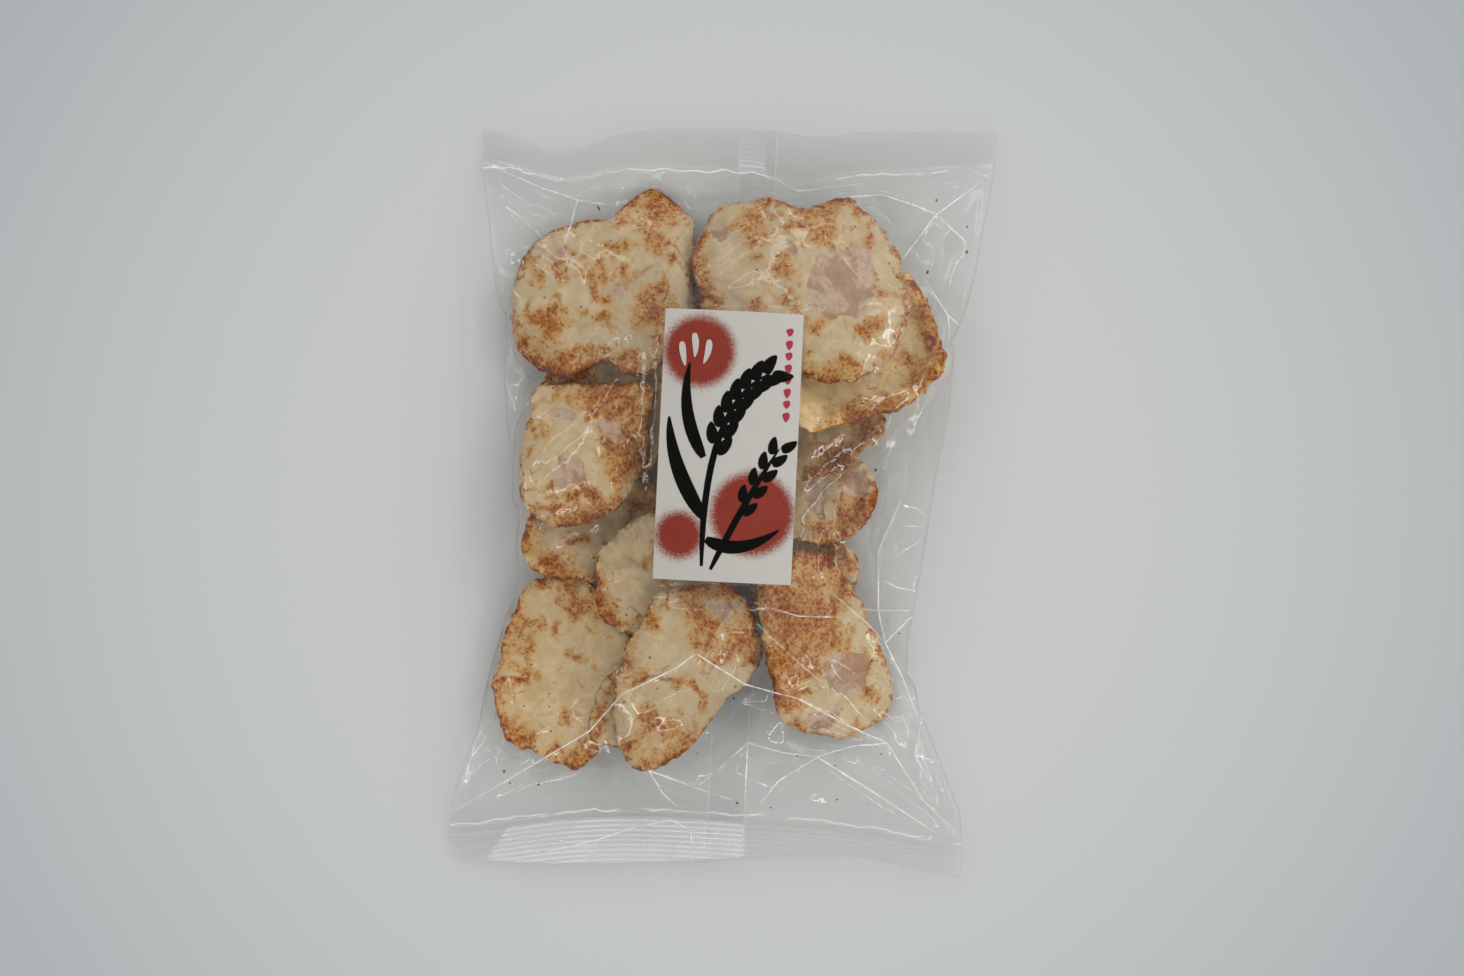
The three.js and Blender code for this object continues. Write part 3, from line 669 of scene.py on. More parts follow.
def line_y(line, x):
    """A seal line's y at x."""
    height, tilt, draws = line
    y = height + tilt * x / TUBE_HALF
    for at, depth, left, right in draws:
        y = y + depth * np.exp(-((x - at) / np.where(x < at, left, right)) ** 2)
    return y


def side_x(side, y):
    """How far the left or the right side of the bag is from its middle at y."""
    pull, at, soft, _ = WAIST[side]
    run = np.where(y > at, TOP_LINE[0] - at, at - BOTTOM_LINE[0])
    away = np.hypot(y - at, soft) - soft
    return TUBE_HALF - pull * np.clip(1 - away / (run - soft), 0, 1)


def band_height(x):
    """The seals hover over the table, lower at their corners, and ripple a little."""
    return BAND_LIFT - BAND_DROOP * (x / TUBE_HALF) ** 2 + 1.6 * np.sin(x / 17) * np.cos(x / 31)


def over_label(x, y):
    across, along = np.abs(x - LABEL_AT[0]), np.abs(y - LABEL_AT[1])
    return (across < LABEL_SIZE[0] / 2) & (along < LABEL_SIZE[1] / 2)


def label_bed(x, y):
    """Height of the smooth bed that the label gives the film."""
    across, along = (x - LABEL_AT[0]) / LABEL_SIZE[0] * 2, (y - LABEL_AT[1]) / LABEL_SIZE[1] * 2
    return LABEL_TOP - LABEL_DROP[0] * across ** 2 - LABEL_DROP[1] * along ** 2


# %% The sheets before they shrink
COLUMNS, BOTTOM_ROWS, PILLOW_ROWS, TOP_ROWS = 80, 20, 98, 6
PILLOW_END = BOTTOM_ROWS + PILLOW_ROWS
ROWS = PILLOW_END + TOP_ROWS
SEAL_GAP = 0.25
SIDE_HOLD, BACK_HOLD = 0.8, 0.6
TENT_REACH, TENT_SLOPE, TENT_GAP = 14, 0.55, 2.0
SIM = 10 * MM


def tent_over(tent):
    """A tent over heights on the cells of the height map."""
    for _ in range(TENT_REACH):
        lowered = tent - TENT_SLOPE * CELL
        for axis, way in ((0, -1), (0, 1), (1, -1), (1, 1)):
            tent = np.maximum(tent, np.roll(lowered, way, axis))
    for _ in range(5):
        for axis in (0, 1):
            tent = (np.roll(tent, 1, axis) + 2 * tent + np.roll(tent, -1, axis)) / 4
    return tent


def tent_over_pile():
    x, y = cell_middles()
    return tent_over(np.where(over_label(x, y), label_bed(x, y), pile_top))


def film_rows():
    """The start place and the flat place of the points of both sheets, row by row."""
    row, column = np.meshgrid(np.arange(ROWS + 1), np.arange(COLUMNS + 1), indexing="ij")
    s = column / COLUMNS * 2 - 1
    below = np.clip(row / BOTTOM_ROWS, 0, 1)
    pillow = np.clip((row - BOTTOM_ROWS) / PILLOW_ROWS, 0, 1)
    above = np.clip((row - PILLOW_END) / TOP_ROWS, 0, 1)
    x = s * TUBE_HALF
    for _ in range(8):
        lines = [line_y(line, x) for line in (BOTTOM_EDGE, BOTTOM_LINE, TOP_LINE, TOP_EDGE)]
        y = lines[0] + below * (lines[1] - lines[0]) + pillow * (lines[2] - lines[1])
        y = y + above * (lines[3] - lines[2])
        x = s * np.where(s < 0, side_x("left", y), side_x("right", y))
    up = np.clip(y - lines[0], 0, CORNER_RADIUS)
    inset = CORNER_RADIUS - np.sqrt(CORNER_RADIUS ** 2 - (CORNER_RADIUS - up) ** 2)
    x = x + np.where(s < 0, inset * s * s, 0)
    flat_y = FLAT_LENGTH * (pillow - 0.5) - SEAL_WIDTHS[0] * (1 - below) + SEAL_WIDTHS[1] * above
    flat = np.stack([s * TUBE_HALF, flat_y], axis=-1).reshape(-1, 2)

    from_seal = np.clip(np.minimum(y - lines[1], lines[2] - y), 0, None)
    in_band = (row <= BOTTOM_ROWS) | (row >= PILLOW_END)
    rise = np.sqrt(1 - (1 - np.clip(from_seal / END_RUN, 0, 1)) ** 2)
    band = band_height(x)
    fold = np.where(s < 0, WAIST["left"][3], WAIST["right"][3])
    fold = band + (fold - band) * np.clip(from_seal / 60, 0, 1)
    full = np.clip(1.2 * (1 - np.abs(s) ** 3.4) ** 0.55, 0, 1)
    cells = cells_of(np.stack([x.ravel(), y.ravel()], axis=-1))
    tent = tent_over_pile()[cells].reshape(x.shape) + TENT_GAP
    front = fold + (np.maximum(tent, AIR_HEIGHT) - fold) * full * rise
    drop = smooth_step(from_seal, 0, 30)
    outside = np.clip((np.abs(s) - 0.7) / 0.3, 0, 1) ** 2
    back = (band * (1 - drop) + 0.6 * drop) * (1 - outside) + fold * outside
    gap = SEAL_GAP / 2 * (np.abs(s) < 1) * (row > 0) * (row < ROWS)
    front = np.where(in_band, band + gap, front)
    back = np.where(in_band, band - gap, np.maximum(back, 0.5))
    front = np.where(np.abs(s) == 1, fold, front)
    back = np.where(np.abs(s) == 1, fold, back)
    held = np.where(in_band, 1.0, np.where(np.abs(s) == 1, SIDE_HOLD, 0.0))
    held_back = np.maximum(held, np.where(back < 0.7, BACK_HOLD, 0.0))
    sheets = [np.stack([x, y, z], axis=-1).reshape(-1, 3) for z in (front, back)]
    return sheets, flat, (held.ravel(), held_back.ravel())


def film_sheet(name, points, flat, held, is_front):
    """One sheet as a grid, with its flat place and its pins kept as attributes."""
    sheet, _ = add_grid(name, COLUMNS, ROWS)
    sheet.data.vertices.foreach_set("co", (points * SIM).astype(np.float32).ravel())
    for mask, values in (("flat_x", flat[:, 0]), ("flat_y", flat[:, 1]), ("held", held),
                         ("front", np.full(len(points), is_front))):
        add_mask(sheet, mask, values)
    return sheet


(front_points, back_points), flat_points, pins = film_rows()
film = film_sheet("film", front_points, flat_points, pins[0], 1.0)
back = film_sheet("film_back", back_points, flat_points, pins[1], 0.0)
edit_mesh(bpy.ops.mesh.flip_normals)
film = join_pieces("film", [film, back])
edit_mesh(partial(bpy.ops.mesh.remove_doubles, threshold=0.02 * SIM))
print("film before it shrinks:", len(film.data.vertices), "points")

# %% [markdown]
# What the film falls on is a plain relief of the pile, made from the height map. It has
# fewer points than the crackers and no overhangs, so the cloth can't catch on it.

# %% The relief that the film lies on
RELIEF_CELL = 2


def pile_relief():
    blocks = [n // RELIEF_CELL for n in MAP_SIZE]
    top = pile_top[:blocks[0] * RELIEF_CELL, :blocks[1] * RELIEF_CELL]
    top = top.reshape(blocks[0], RELIEF_CELL, blocks[1], RELIEF_CELL).max(axis=(1, 3))
    x, y = cell_middles(blocks, CELL * RELIEF_CELL)
    top = np.where(over_label(x, y), label_bed(x, y) - 1.0, top)
    relief, _ = add_grid("pile_relief", blocks[1] - 1, blocks[0] - 1)
    points = np.stack([x, y, top], axis=-1).reshape(-1, 3) * SIM
    relief.data.vertices.foreach_set("co", points.astype(np.float32).ravel())
    relief.data.update()
    edit_mesh(partial(bpy.ops.mesh.normals_make_consistent, inside=False))
    if relief.data.polygons[0].normal.z < 0:
        relief.data.flip_normals()
    collider = relief.modifiers.new("relief", "COLLISION").settings
    collider.thickness_outer, collider.thickness_inner = 0.005, 0.1
    collider.cloth_friction = 3
    return relief


# %% Let the film shrink onto the pile
FRAMES = 40
CLOTH = {
    "quality": 8, "mass": 0.02, "air_damping": 2.0, "pin_stiffness": 3.0,
    "tension_stiffness": 80, "compression_stiffness": 80, "shear_stiffness": 60,
    "tension_damping": 20, "compression_damping": 20, "shear_damping": 20,
    "bending_stiffness": 0.5, "bending_damping": 0.5,
    "use_pressure": True, "uniform_pressure_force": 0.1,
}


def shrink_film():
    film.shape_key_add(name="start")
    flat_key = film.shape_key_add(name="flat")
    flat = np.stack([get_mask(film, "flat_x"), get_mask(film, "flat_y")], axis=-1) * SIM
    flat = np.column_stack([flat, np.zeros(len(flat))])
    flat_key.data.foreach_set("co", flat.astype(np.float32).ravel())
    flat_key.value = 0
    group = film.vertex_groups.new(name="held")
    for index, weight in enumerate(get_mask(film, "held")):
        if weight > 0:
            group.add([index], weight, "REPLACE")
    modifier = film.modifiers.new("shrink", "CLOTH")
    for name, value in CLOTH.items():
        setattr(modifier.settings, name, value)
    modifier.settings.rest_shape_key = flat_key
    modifier.settings.vertex_group_mass = group.name
    modifier.collision_settings.distance_min = 0.005
    modifier.collision_settings.collision_quality = 2
    modifier.point_cache.frame_end = FRAMES
    scene.frame_end = FRAMES
    for step in range(1, FRAMES + 1):
        scene.frame_set(step)
    shrunk = film.evaluated_get(bpy.context.evaluated_depsgraph_get())
    points = np.array([v.co[:] for v in shrunk.data.vertices])
    film.modifiers.remove(modifier)
    film.shape_key_clear()
    return points


relief = pile_relief()
bpy.ops.mesh.primitive_plane_add(size=400 * SIM)
table = bpy.context.object
table.modifiers.new("table", "COLLISION").settings.thickness_outer = 0.003
shrunk = shrink_film()
bpy.data.objects.remove(relief)
bpy.data.objects.remove(table)
set_points(film, shrunk / SIM)
low, high = get_points(film).min(axis=0), get_points(film).max(axis=0)
print("film, mm:", low.round(1), "to", high.round(1))

# %% [markdown]
# ## Folds that the film keeps
#
# Cloth gives the broad drape, but stiff film also takes sharp folds: straight ridges that run
# from the seals' corners to the pile, and little pyramids where an end is pushed in. Each is
# added as a tent along a line: two flat slopes that meet in a crisp ridge, since film bends
# along straight lines and stays flat between them. They come after the film has been pressed
# flat under the label and subdivided once.

# %% Press, subdivide and fold the film
# Lines of (x, y, rise of the ridge, reach of its slopes) in mm.
FOLDS = (
    ((-88, -113, 0.3, 3), (-41, -81, 2.6, 11), (-30, -67, 2.4, 9), (-12, -57, 2.2, 7),
     (-6, -52, 1.6, 5)),
    ((-6, -52, 1.6, 5), (11, -62, 2.2, 8), (29, -66, 2.2, 8), (47, -75, 2.4, 9),
     (61, -81, 2.8, 10), (75, -101, 2.0, 7), (87, -112, 0.3, 3)),
    ((-20, -93, 3.0, 8), (-15, -102, 1.8, 6), (-10, -107, 0.4, 3)),
    ((-20, -93, 3.0, 8), (-3, -99, 1.8, 6), (15, -105, 0.4, 3)),
    ((13, -82, 4.4, 12), (-3, -98, 1.8, 6)),
    ((13, -82, 4.4, 12), (13, -105, 0.5, 4)),
    ((17, -106, 0.4, 3), (24, -95, 2.8, 9), (37, -86, 4.6, 12)),
    ((37, -86, 4.6, 12), (59, -99, 2.8, 9), (80, -112, 0.4, 3)),
    ((13, -82, 4.4, 12), (25, -85, 2.6, 10), (37, -86, 4.6, 12)),
    ((37, -86, 4.6, 12), (50, -82, 2.0, 8), (61, -81, 2.8, 10)),
    ((73, -72, 0.6, 4), (71, -85, 2.2, 7), (79, -98, 0.4, 3)),
    ((71, -85, 2.2, 7), (82, -88, 0.4, 3)),
    ((-88, 113, 0.3, 3), (-67, 104, 2.4, 9), (-54, 100, 2.4, 9), (-43, 99, 0.6, 4)),
    ((-88, 115, 0.3, 3), (-60, 108, 1.2, 5), (-41, 111, 0.3, 3)),
    ((-54, 100, 2.4, 9), (-58, 84, 0.6, 5)),
    ((11, 113, 0.3, 3), (21, 107, 1.6, 6), (45, 111, 0.3, 3)),
    ((88, 117, 0.3, 3), (69, 101, 3.0, 10), (58, 85, 0.8, 6)),
    ((69, 101, 3.0, 10), (50, 107, 1.4, 6), (30, 104, 0.3, 4)),
    ((69, 101, 3.0, 10), (80, 92, 0.8, 5)),
    ((66, 78, 0.3, 4), (74, 66, 2.4, 7), (82, 62, 0.4, 3)),
    ((74, 66, 2.4, 7), (77, 50, 0.3, 3)),
    ((61, 3, 0.3, 3), (54, -15, 1.8, 5), (55, -35, 1.8, 5), (58, -46, 2.4, 6)),
    ((77, 22, 0.3, 3), (75, 4, 1.8, 5), (73, -10, 1.8, 5), (73, -26, 1.2, 4)),
    ((62, 1, 0.2, 2), (67, 0, 1.1, 3), (71, -3, 0.2, 2)),
    ((62, -6, 0.2, 2), (67, -6, 1.1, 3), (72, -7, 0.2, 2)),
    ((60, -17, 0.3, 2), (65, -13, 1.4, 4), (69, -11, 0.2, 2)),
    ((57, -25, 0.6, 3), (61, -27, 1.4, 4), (67, -28, 1.2, 4), (68, -24, 1.0, 3),
     (73, -18, 0.2, 2)),
    ((67, -28, 1.2, 4), (72, -31, 1.8, 4), (73, -35, 0.6, 2)),
    ((50, -35, 0.3, 3), (58, -35, 1.0, 3), (70, -35, 0.6, 3)),
    ((58, -46, 2.4, 6), (66, -38, 2.2, 5), (73, -35, 0.5, 3)),
    ((58, -46, 2.4, 6), (65, -58, 2.0, 6), (72, -73, 0.8, 4)),
    ((58, -46, 2.4, 6), (52, -40, 1.4, 4), (38, -29, 0.3, 3)),
    ((13, -34, 0.4, 3), (28, -38, 1.0, 5), (43, -38, 0.5, 4)),
    ((14, -41, 0.4, 3), (29, -54, 1.0, 5), (39, -62, 0.4, 3)),
)
# Painted highlights along creases that the hot jaws have pressed flat, drawn as white ribbons
# alone: lines of (x, y, how white).
SEAL_CREASE_HIGHLIGHTS = (
    ((-54, -125, 1.6), (-37, -120, 2.2), (-24, -115, 2.2), (-12, -112, 1.6)),
    ((-12, -112, 1.6), (-5, -115, 2.0), (-4, -125, 1.6)),
)
RIDGE_ROUNDNESS = 0.35
BACK_GAP, LOWEST_FILM = 1.4, 0.5
SEAL_EDGE = 0.35
# The loose flap at the right is crinkled: its middle and its reach, mm.
CRINKLED_AT, CRINKLED_REACH = (64, -14), (9, 26)


def tent(line, points):
    """The rise over points of a ridge with two flat slopes."""
    rise = np.zeros(len(points))
    for start, end in zip(line, line[1:]):
        run = np.subtract(end, start)[:2]
        off = points[:, :2] - start[:2]
        t = np.clip(off @ run / (run @ run), 0, 1)
        away = np.hypot(*(off - t[:, None] * run).T)
        away = np.hypot(away, RIDGE_ROUNDNESS) - RIDGE_ROUNDNESS
        top = start[2] + t * (end[2] - start[2])
        reach = start[3] + t * (end[3] - start[3])
        rise = np.maximum(rise, top * (1 - away / reach))
    return rise


def outside_label(points, margin):
    """0 under the label, rising to 1 at a margin round it."""
    out = np.abs(points[:, :2] - LABEL_AT) - np.array(LABEL_SIZE) / 2
    return smooth_step(np.hypot(*np.clip(out, 0, None).T), 0, margin)


def finish_film():
    points = get_points(film)
    front = get_mask(film, "front") > 0.5
    # The crackers weigh on the back sheet, so it lies below each of them.
    below_pile = np.maximum(-tent_over(-pile_bottom)[cells_of(points)] - BACK_GAP, LOWEST_FILM)
    points[:, 2] = np.where(front, points[:, 2], np.minimum(points[:, 2], below_pile))
    glued = (1 - outside_label(points, 6)) * front
    points[:, 2] += glued * (label_bed(points[:, 0], points[:, 1]) - points[:, 2])
    set_points(film, points)
    select_only([film])
    apply_modifier(film, "SUBSURF", levels=1, render_levels=1)
    points = get_points(film)
    front = get_mask(film, "front")
    x, y = points[:, 0], points[:, 1]
    free = smooth_step(np.minimum(line_y(TOP_LINE, x) - y, y - line_y(BOTTOM_LINE, x)), 0, 5)
    free *= smooth_step(side_x("left", y) + x, 1, 6) * smooth_step(side_x("right", y) - x, 1, 6)
    free *= outside_label(points, 3) * front
    points[:, 2] += np.max([tent(line, points) for line in FOLDS], axis=0) * free
    into_bottom, into_top = line_y(BOTTOM_LINE, x) - y, y - line_y(TOP_LINE, x)
    for off_line in (into_bottom, into_top):
        points[:, 2] += SEAL_EDGE * np.exp(-np.abs(off_line) / 0.9)
    set_points(film, points)
    # For the material: how far into the seal a point is, and how strongly it is crimped there.
    crimp = smooth_step(into_bottom, 2.5, 3.2) * smooth_step(y - line_y(BOTTOM_EDGE, x), 1, 2)
    slanted = smooth_step(x + 0.65 * into_bottom, -68, -65)
    crimp *= 0.15 + 0.85 * smooth_step(-x, -15, -11) * slanted
    knurl = smooth_step(into_top, 0.2, 0.6) * (0.7 - 0.45 * smooth_step(into_top, 2, 6))
    knurl *= smooth_step(x, 0, 0.5) * smooth_step(-x, -10, -9.5) * smooth_step(-into_top, -13, -12)
    crimp = np.maximum(crimp, knurl)
    add_mask(film, "into_seal", np.maximum(into_bottom, into_top))
    add_mask(film, "crimp", crimp)
    away = [(points[:, k] - CRINKLED_AT[k]) / CRINKLED_REACH[k] for k in (0, 1)]
    add_mask(film, "crinkled", np.exp(-away[0] ** 2 - away[1] ** 2))
    bpy.ops.object.shade_smooth()


finish_film()
print("film:", len(film.data.polygons), "faces")

# %% [markdown]
# Polypropylene film is clear, thin and glossy. Seen square on, nearly all light passes; seen
# on edge, along a fold, it mirrors the lamps. So the shader mixes a transparent and a glossy
# one by how steeply the surface turns away, and a faint ripple breaks up the reflections. The
# hot jaws that seal the film press fine ribs into its lower seal, which are a bump here.

# %% Material of the film
RIB_PITCH, RIB_HEIGHT = 1.7, 0.16
# Noise patterns: size in mm and detail.
FILM_NOISES = {"ripple": (7, 3), "patches": (3, 3), "stretches": (18, 2)}
# For each kind of film: its masks, how much it mirrors on edge and square on, and its tint.
FILM_KINDS = {
    "sheet": (("into_seal", "crimp", "crinkled"), 0.85, 0.034, (0.996, 0.994, 0.986, 1)),
    "painted_ridge": (("sharp",), 0.85, 0.034, (0.996, 0.994, 0.986, 1)),
    "seam": (("fold",), 0.08, 0.0, (1, 1, 1, 1)),
}


def clear_film(name, kind):
    """Clear film as a sheet, a painted white highlight on a creased ridge, or a seam of two
    layers.
    """
    masks, edge_on, square_on, tint = FILM_KINDS[kind]
    material = bpy.data.materials.new(name)
    add = node_adder(material)
    place = add("TexCoord")["Object"]
    pattern = {mask: add("Attribute", {"attribute_name": mask})["Fac"] for mask in masks}
    for noise_name, (size, detail) in FILM_NOISES.items():
        pattern[noise_name] = add("TexNoise", None, {"Vector": place, "Scale": 1 / (size * MM),
                                  "Detail": detail, "Distortion": 0.5})["Fac"]

    def faded(value, fades):
        """A value times patterns that each rise from least at low to 1 at high."""
        for pattern_name, low, high, least in fades:
            share = add("MapRange", SMOOTH, {"Value": pattern[pattern_name], "From Min": low,
                        "From Max": high, "To Min": least})["Result"]
            value = add("Math", MULTIPLY, {0: value, 1: share})[0]
        return value

    # How much of the film is painted white, as painted highlights (on the crimped ribs partly a
    # frost of their own), and what bends its reflections.
    bumps = [(0.3, 0.5, pattern["ripple"])]
    if kind == "sheet":
        # The crimped ribs of the seals, and the edge where the hot jaws end.
        turn = add("Math", MULTIPLY, {0: pattern["into_seal"], 1: 2 * math.pi / RIB_PITCH})[0]
        pattern["wave"] = add("Math", {"operation": "SINE"}, {0: turn})[0]
        crimped = add("Math", MULTIPLY, {0: pattern["wave"], 1: pattern["crimp"]})[0]
        bumps += [(pattern["crinkled"], 0.7, pattern["patches"]), (1.0, RIB_HEIGHT, crimped)]
        # The ribs are painted white in stripes: partly the frost of crimped film, partly a painted
        # highlight for the light the ribs catch.
        rib_frost_and_highlight = faded(0.3, (("wave", 0.1, 1.0, 0.0), ("stretches", 0.35, 0.6, 0.45)))
        rib_frost_and_highlight = add("Math", {"operation": "ADD"}, {0: rib_frost_and_highlight, 1: 0.1})[0]
        rib_frost_and_highlight = add("Math", MULTIPLY, {0: rib_frost_and_highlight, 1: pattern["crimp"]})[0]
        # A painted highlight: a wavy white line along each seal's inner edge, where the hot jaws
        # end.
        off_line = add("Math", MULTIPLY_ADD,
                       {0: pattern["ripple"], 1: 4.0, 2: pattern["into_seal"]})[0]
        off_line = add("Math", {"operation": "SUBTRACT"}, {0: off_line, 1: 2.0})[0]
        pattern["off_line"] = add("Math", {"operation": "ABSOLUTE"}, {0: off_line})[0]
        jaw_edge_highlight = faded(0.5, (("off_line", 0.4, 0.1, 0.0), ("stretches", 0.42, 0.55, 0.0)))
        frost_and_highlight_share = add("Math", {"operation": "MAXIMUM"}, {0: rib_frost_and_highlight, 1: jaw_edge_highlight})[0]
    elif kind == "painted_ridge":
        # Painted highlight: the ribbon along a ridge is painted white, varied in patches.
        frost_and_highlight_share = faded(pattern["sharp"], (("patches", 0.3, 0.6, 0.3),
                                            ("stretches", 0.36, 0.5, 0.35)))
    else:
        # Painted highlight: the edges of the seam's folds are painted a faint white.
        frost_and_highlight_share = add("Math", MULTIPLY, {0: pattern["fold"], 1: 0.35})[0]
    normal = add("NewGeometry")["Normal"]
    for strength, distance, height in bumps:
        normal = add("Bump", None, {"Strength": strength, "Distance": distance * MM,
                     "Height": height, "Normal": normal})[0]
    facing = add("LayerWeight", None, {"Blend": 0.5})["Facing"]
    steep = add("Math", {"operation": "POWER"}, {0: facing, 1: 3.5})[0]
    mirrored = add("Math", MULTIPLY_ADD, {0: steep, 1: edge_on, 2: square_on})[0]
    through = add("BsdfTransparent", None, {"Color": tint})[0]
    gloss = add("BsdfGlossy", None, {"Roughness": 0.045, "Normal": normal})[0]
    clear = add("MixShader", None, {0: mirrored, 1: through, 2: gloss})[0]
    # The white that carries the painted highlights, and the crimped ribs' frost.
    frost_and_highlight = add("BsdfDiffuse", None, {"Color": linear("#f2f3f2")})[0]
    mixed = add("MixShader", None, {0: frost_and_highlight_share, 1: clear, 2: frost_and_highlight})[0]
    add("OutputMaterial", None, {"Surface": mixed})
    return material


film.data.materials.append(clear_film("clear polypropylene film, painted seal highlights", "sheet"))

# %% [markdown]
# Each ridge gets a hair-thin white ribbon along its top, and so does each crease that the hot jaws
# pressed into the lower seal, laid on the film by casting rays down on it. The white is a painted
# highlight: it stands in for the lamps' glint along a sharp fold. The tube's own back seam is a
# strip as well: its two layers are folded flat against the back sheet, and rays cast from below
# say how high that is.

# %% Painted ridge highlights and the back seam
HIGHLIGHT_WIDTH, HIGHLIGHT_THICKNESS, HIGHLIGHT_STEP = 0.4, 0.04, 1.5
SEAM_FROM, SEAM_TO, SEAM_THICKNESS = 0.5, 13.5, 0.12
SEAM_INSET, SEAM_FOLD = 1.0, 0.5
NO_FILM = 0.5


def film_height(x, y, from_above=True):
    """Height of the film's front or back sheet in mm, or NO_FILM beside the film."""
    start, way = (0.1, -1) if from_above else (-0.1, 1)
    hit, place, _, _ = film.ray_cast(Vector((x * MM, y * MM, start)), Vector((0, 0, way)))
    return place.z / MM if hit else NO_FILM


def ribbon(start, end, width):
    """A narrow strip on the film between two places of (x, y, how strong its painted highlight
    is), if it is there.
    """
    start, end = np.array(start[:3], dtype=float), np.array(end[:3], dtype=float)
    # The strip ends where the film ends.
    on_film = [t for t in np.linspace(0, 1, 41)
               if film_height(*(start + t * (end - start))[:2]) > NO_FILM]
    if not on_film:
        return None
    start, end = start + np.outer((on_film[0], on_film[-1]), end - start)
    steps = max(2, round(math.dist(start[:2], end[:2]) / HIGHLIGHT_STEP))
    strip, flat = add_grid("painted_ridge_highlights", 1, steps)
    t = (flat[:, 1] + 0.5)[:, None]
    run = (end - start)[:2]
    across = np.array([run[1], -run[0]]) / np.hypot(*run)
    place = start[:2] + t * run + across * flat[:, :1] * width
    height = np.array([film_height(*spot) for spot in start[:2] + t * run])
    set_points(strip, np.column_stack([place, height + 0.06]))
    # How bright the painted highlight is, from the ridge's rise.
    add_mask(strip, "sharp", np.clip((start[2] + t[:, 0] * (end[2] - start[2])) / 2.4, 0.1, 0.9))
    return strip


def back_seam():
    seam, flat = add_grid("back_seam", 4, 130)
    flat += 0.5
    folded = np.abs(flat[:, 0] - 0.5) > 0.4
    x = SEAM_FROM + flat[:, 0] * (SEAM_TO - SEAM_FROM)
    near_fold = np.abs(np.abs(flat[:, 0] - 0.5) - 0.25) < 0.1
    x += near_fold * np.sign(flat[:, 0] - 0.5) * ((SEAM_TO - SEAM_FROM) / 4 - SEAM_FOLD)
    low, high = line_y(BOTTOM_EDGE, x) + SEAM_INSET, line_y(TOP_EDGE, x) - SEAM_INSET
    y = low + flat[:, 1] * (high - low)
    z = np.array([film_height(*place, from_above=False) for place in zip(x, y)])
    set_points(seam, np.stack([x, y, np.maximum(z - 0.25, 0.15)], axis=-1))
    # The strip's outer edges, which the material paints faint white as a painted highlight.
    add_mask(seam, "fold", folded.astype(float))
    apply_modifier(seam, "SOLIDIFY", thickness=SEAM_THICKNESS * MM, offset=1)
    return seam


def painted_ridge_highlights():
    strips = [ribbon(start, end, HIGHLIGHT_WIDTH)
              for line in FOLDS + SEAL_CREASE_HIGHLIGHTS for start, end in zip(line, line[1:])]
    ridge_highlights = join_pieces("painted_ridge_highlights", [strip for strip in strips if strip])
    apply_modifier(ridge_highlights, "SOLIDIFY", thickness=HIGHLIGHT_THICKNESS * MM, offset=1)
    return ridge_highlights


ridge_highlights = painted_ridge_highlights()
ridge_highlights.data.materials.append(clear_film("creased film, painted highlight", "painted_ridge"))
seam = back_seam()
seam.data.materials.append(clear_film("clear film, two layers, painted fold highlights", "seam"))

# %% [markdown]
# ## The label
#
# A sheet of coated paper, 46 by 90 mm, stuck on the film. It takes the film's curve, with a
# little ripple of its own. A grid is laid on the same bed as the film and Solidify gives it
# its thickness. Its print is generic: soft red discs in the paper's own shader, and two ears
# of rice brushed in black ink, which are thin strokes of their own on top.

# %% The label's paper
PAPER_GAP, PAPER_THICKNESS = 0.3, 0.2


def paper_height(x, y):
    """Height of the paper's face."""
    ripple = 0.25 * np.sin(x / 5 + y / 31) * np.cos(y / 19) + 0.12 * np.sin(y / 4.5 + x / 9)
    return label_bed(x, y) + PAPER_GAP + PAPER_THICKNESS + ripple


label, flat = add_grid("paper_label", *map(round, LABEL_SIZE))
x, y = (flat[:, k] * LABEL_SIZE[k] + LABEL_AT[k] for k in (0, 1))
set_points(label, np.stack([x, y, paper_height(x, y)], axis=-1))
apply_modifier(label, "SOLIDIFY", thickness=PAPER_THICKNESS * MM, offset=-1)
bpy.ops.object.shade_smooth_by_angle(angle=math.radians(40))
low, high = get_points(label).min(axis=0), get_points(label).max(axis=0)
print("label, mm:", low.round(1), "to", high.round(1))

# %% [markdown]
# The strokes are modelled one by one: a narrow grid is bent along a curve and given the width
# of a loaded brush, full in its first third and running out at its end. An ear of rice is a
# long stem, two leaves, and grains set left and right along the nodding tip.

# %% Brushed strokes
INK_RISE, INK_THICKNESS = 0.05, 0.04
STROKE_STEPS = 14


def brush_stroke(start, through, end, width):
    """One stroke on the label, from and to places measured from the label's middle."""
    stroke, flat = add_grid("stroke", 2, STROKE_STEPS)
    side, t = flat[:, 0] * 2, flat[:, 1] + 0.5
    a, b, c = (np.array(place, dtype=float) for place in (start, through, end))
    t_ = t[:, None]
    spine = (1 - t_) ** 2 * a + 2 * t_ * (1 - t_) * b + t_ ** 2 * c
    along = 2 * (1 - t_) * (b - a) + 2 * t_ * (c - b)
    along /= np.linalg.norm(along, axis=1)[:, None]
    across = np.stack([along[:, 1], -along[:, 0]], axis=-1)
    reach = width / 2 * np.sin(math.pi * np.clip(t, 0.015, 0.985) ** 0.6) ** 0.55
    place = spine + across * (side * reach)[:, None] + LABEL_AT
    height = paper_height(place[:, 0], place[:, 1]) + INK_RISE + INK_THICKNESS
    set_points(stroke, np.column_stack([place, height]))
    return stroke


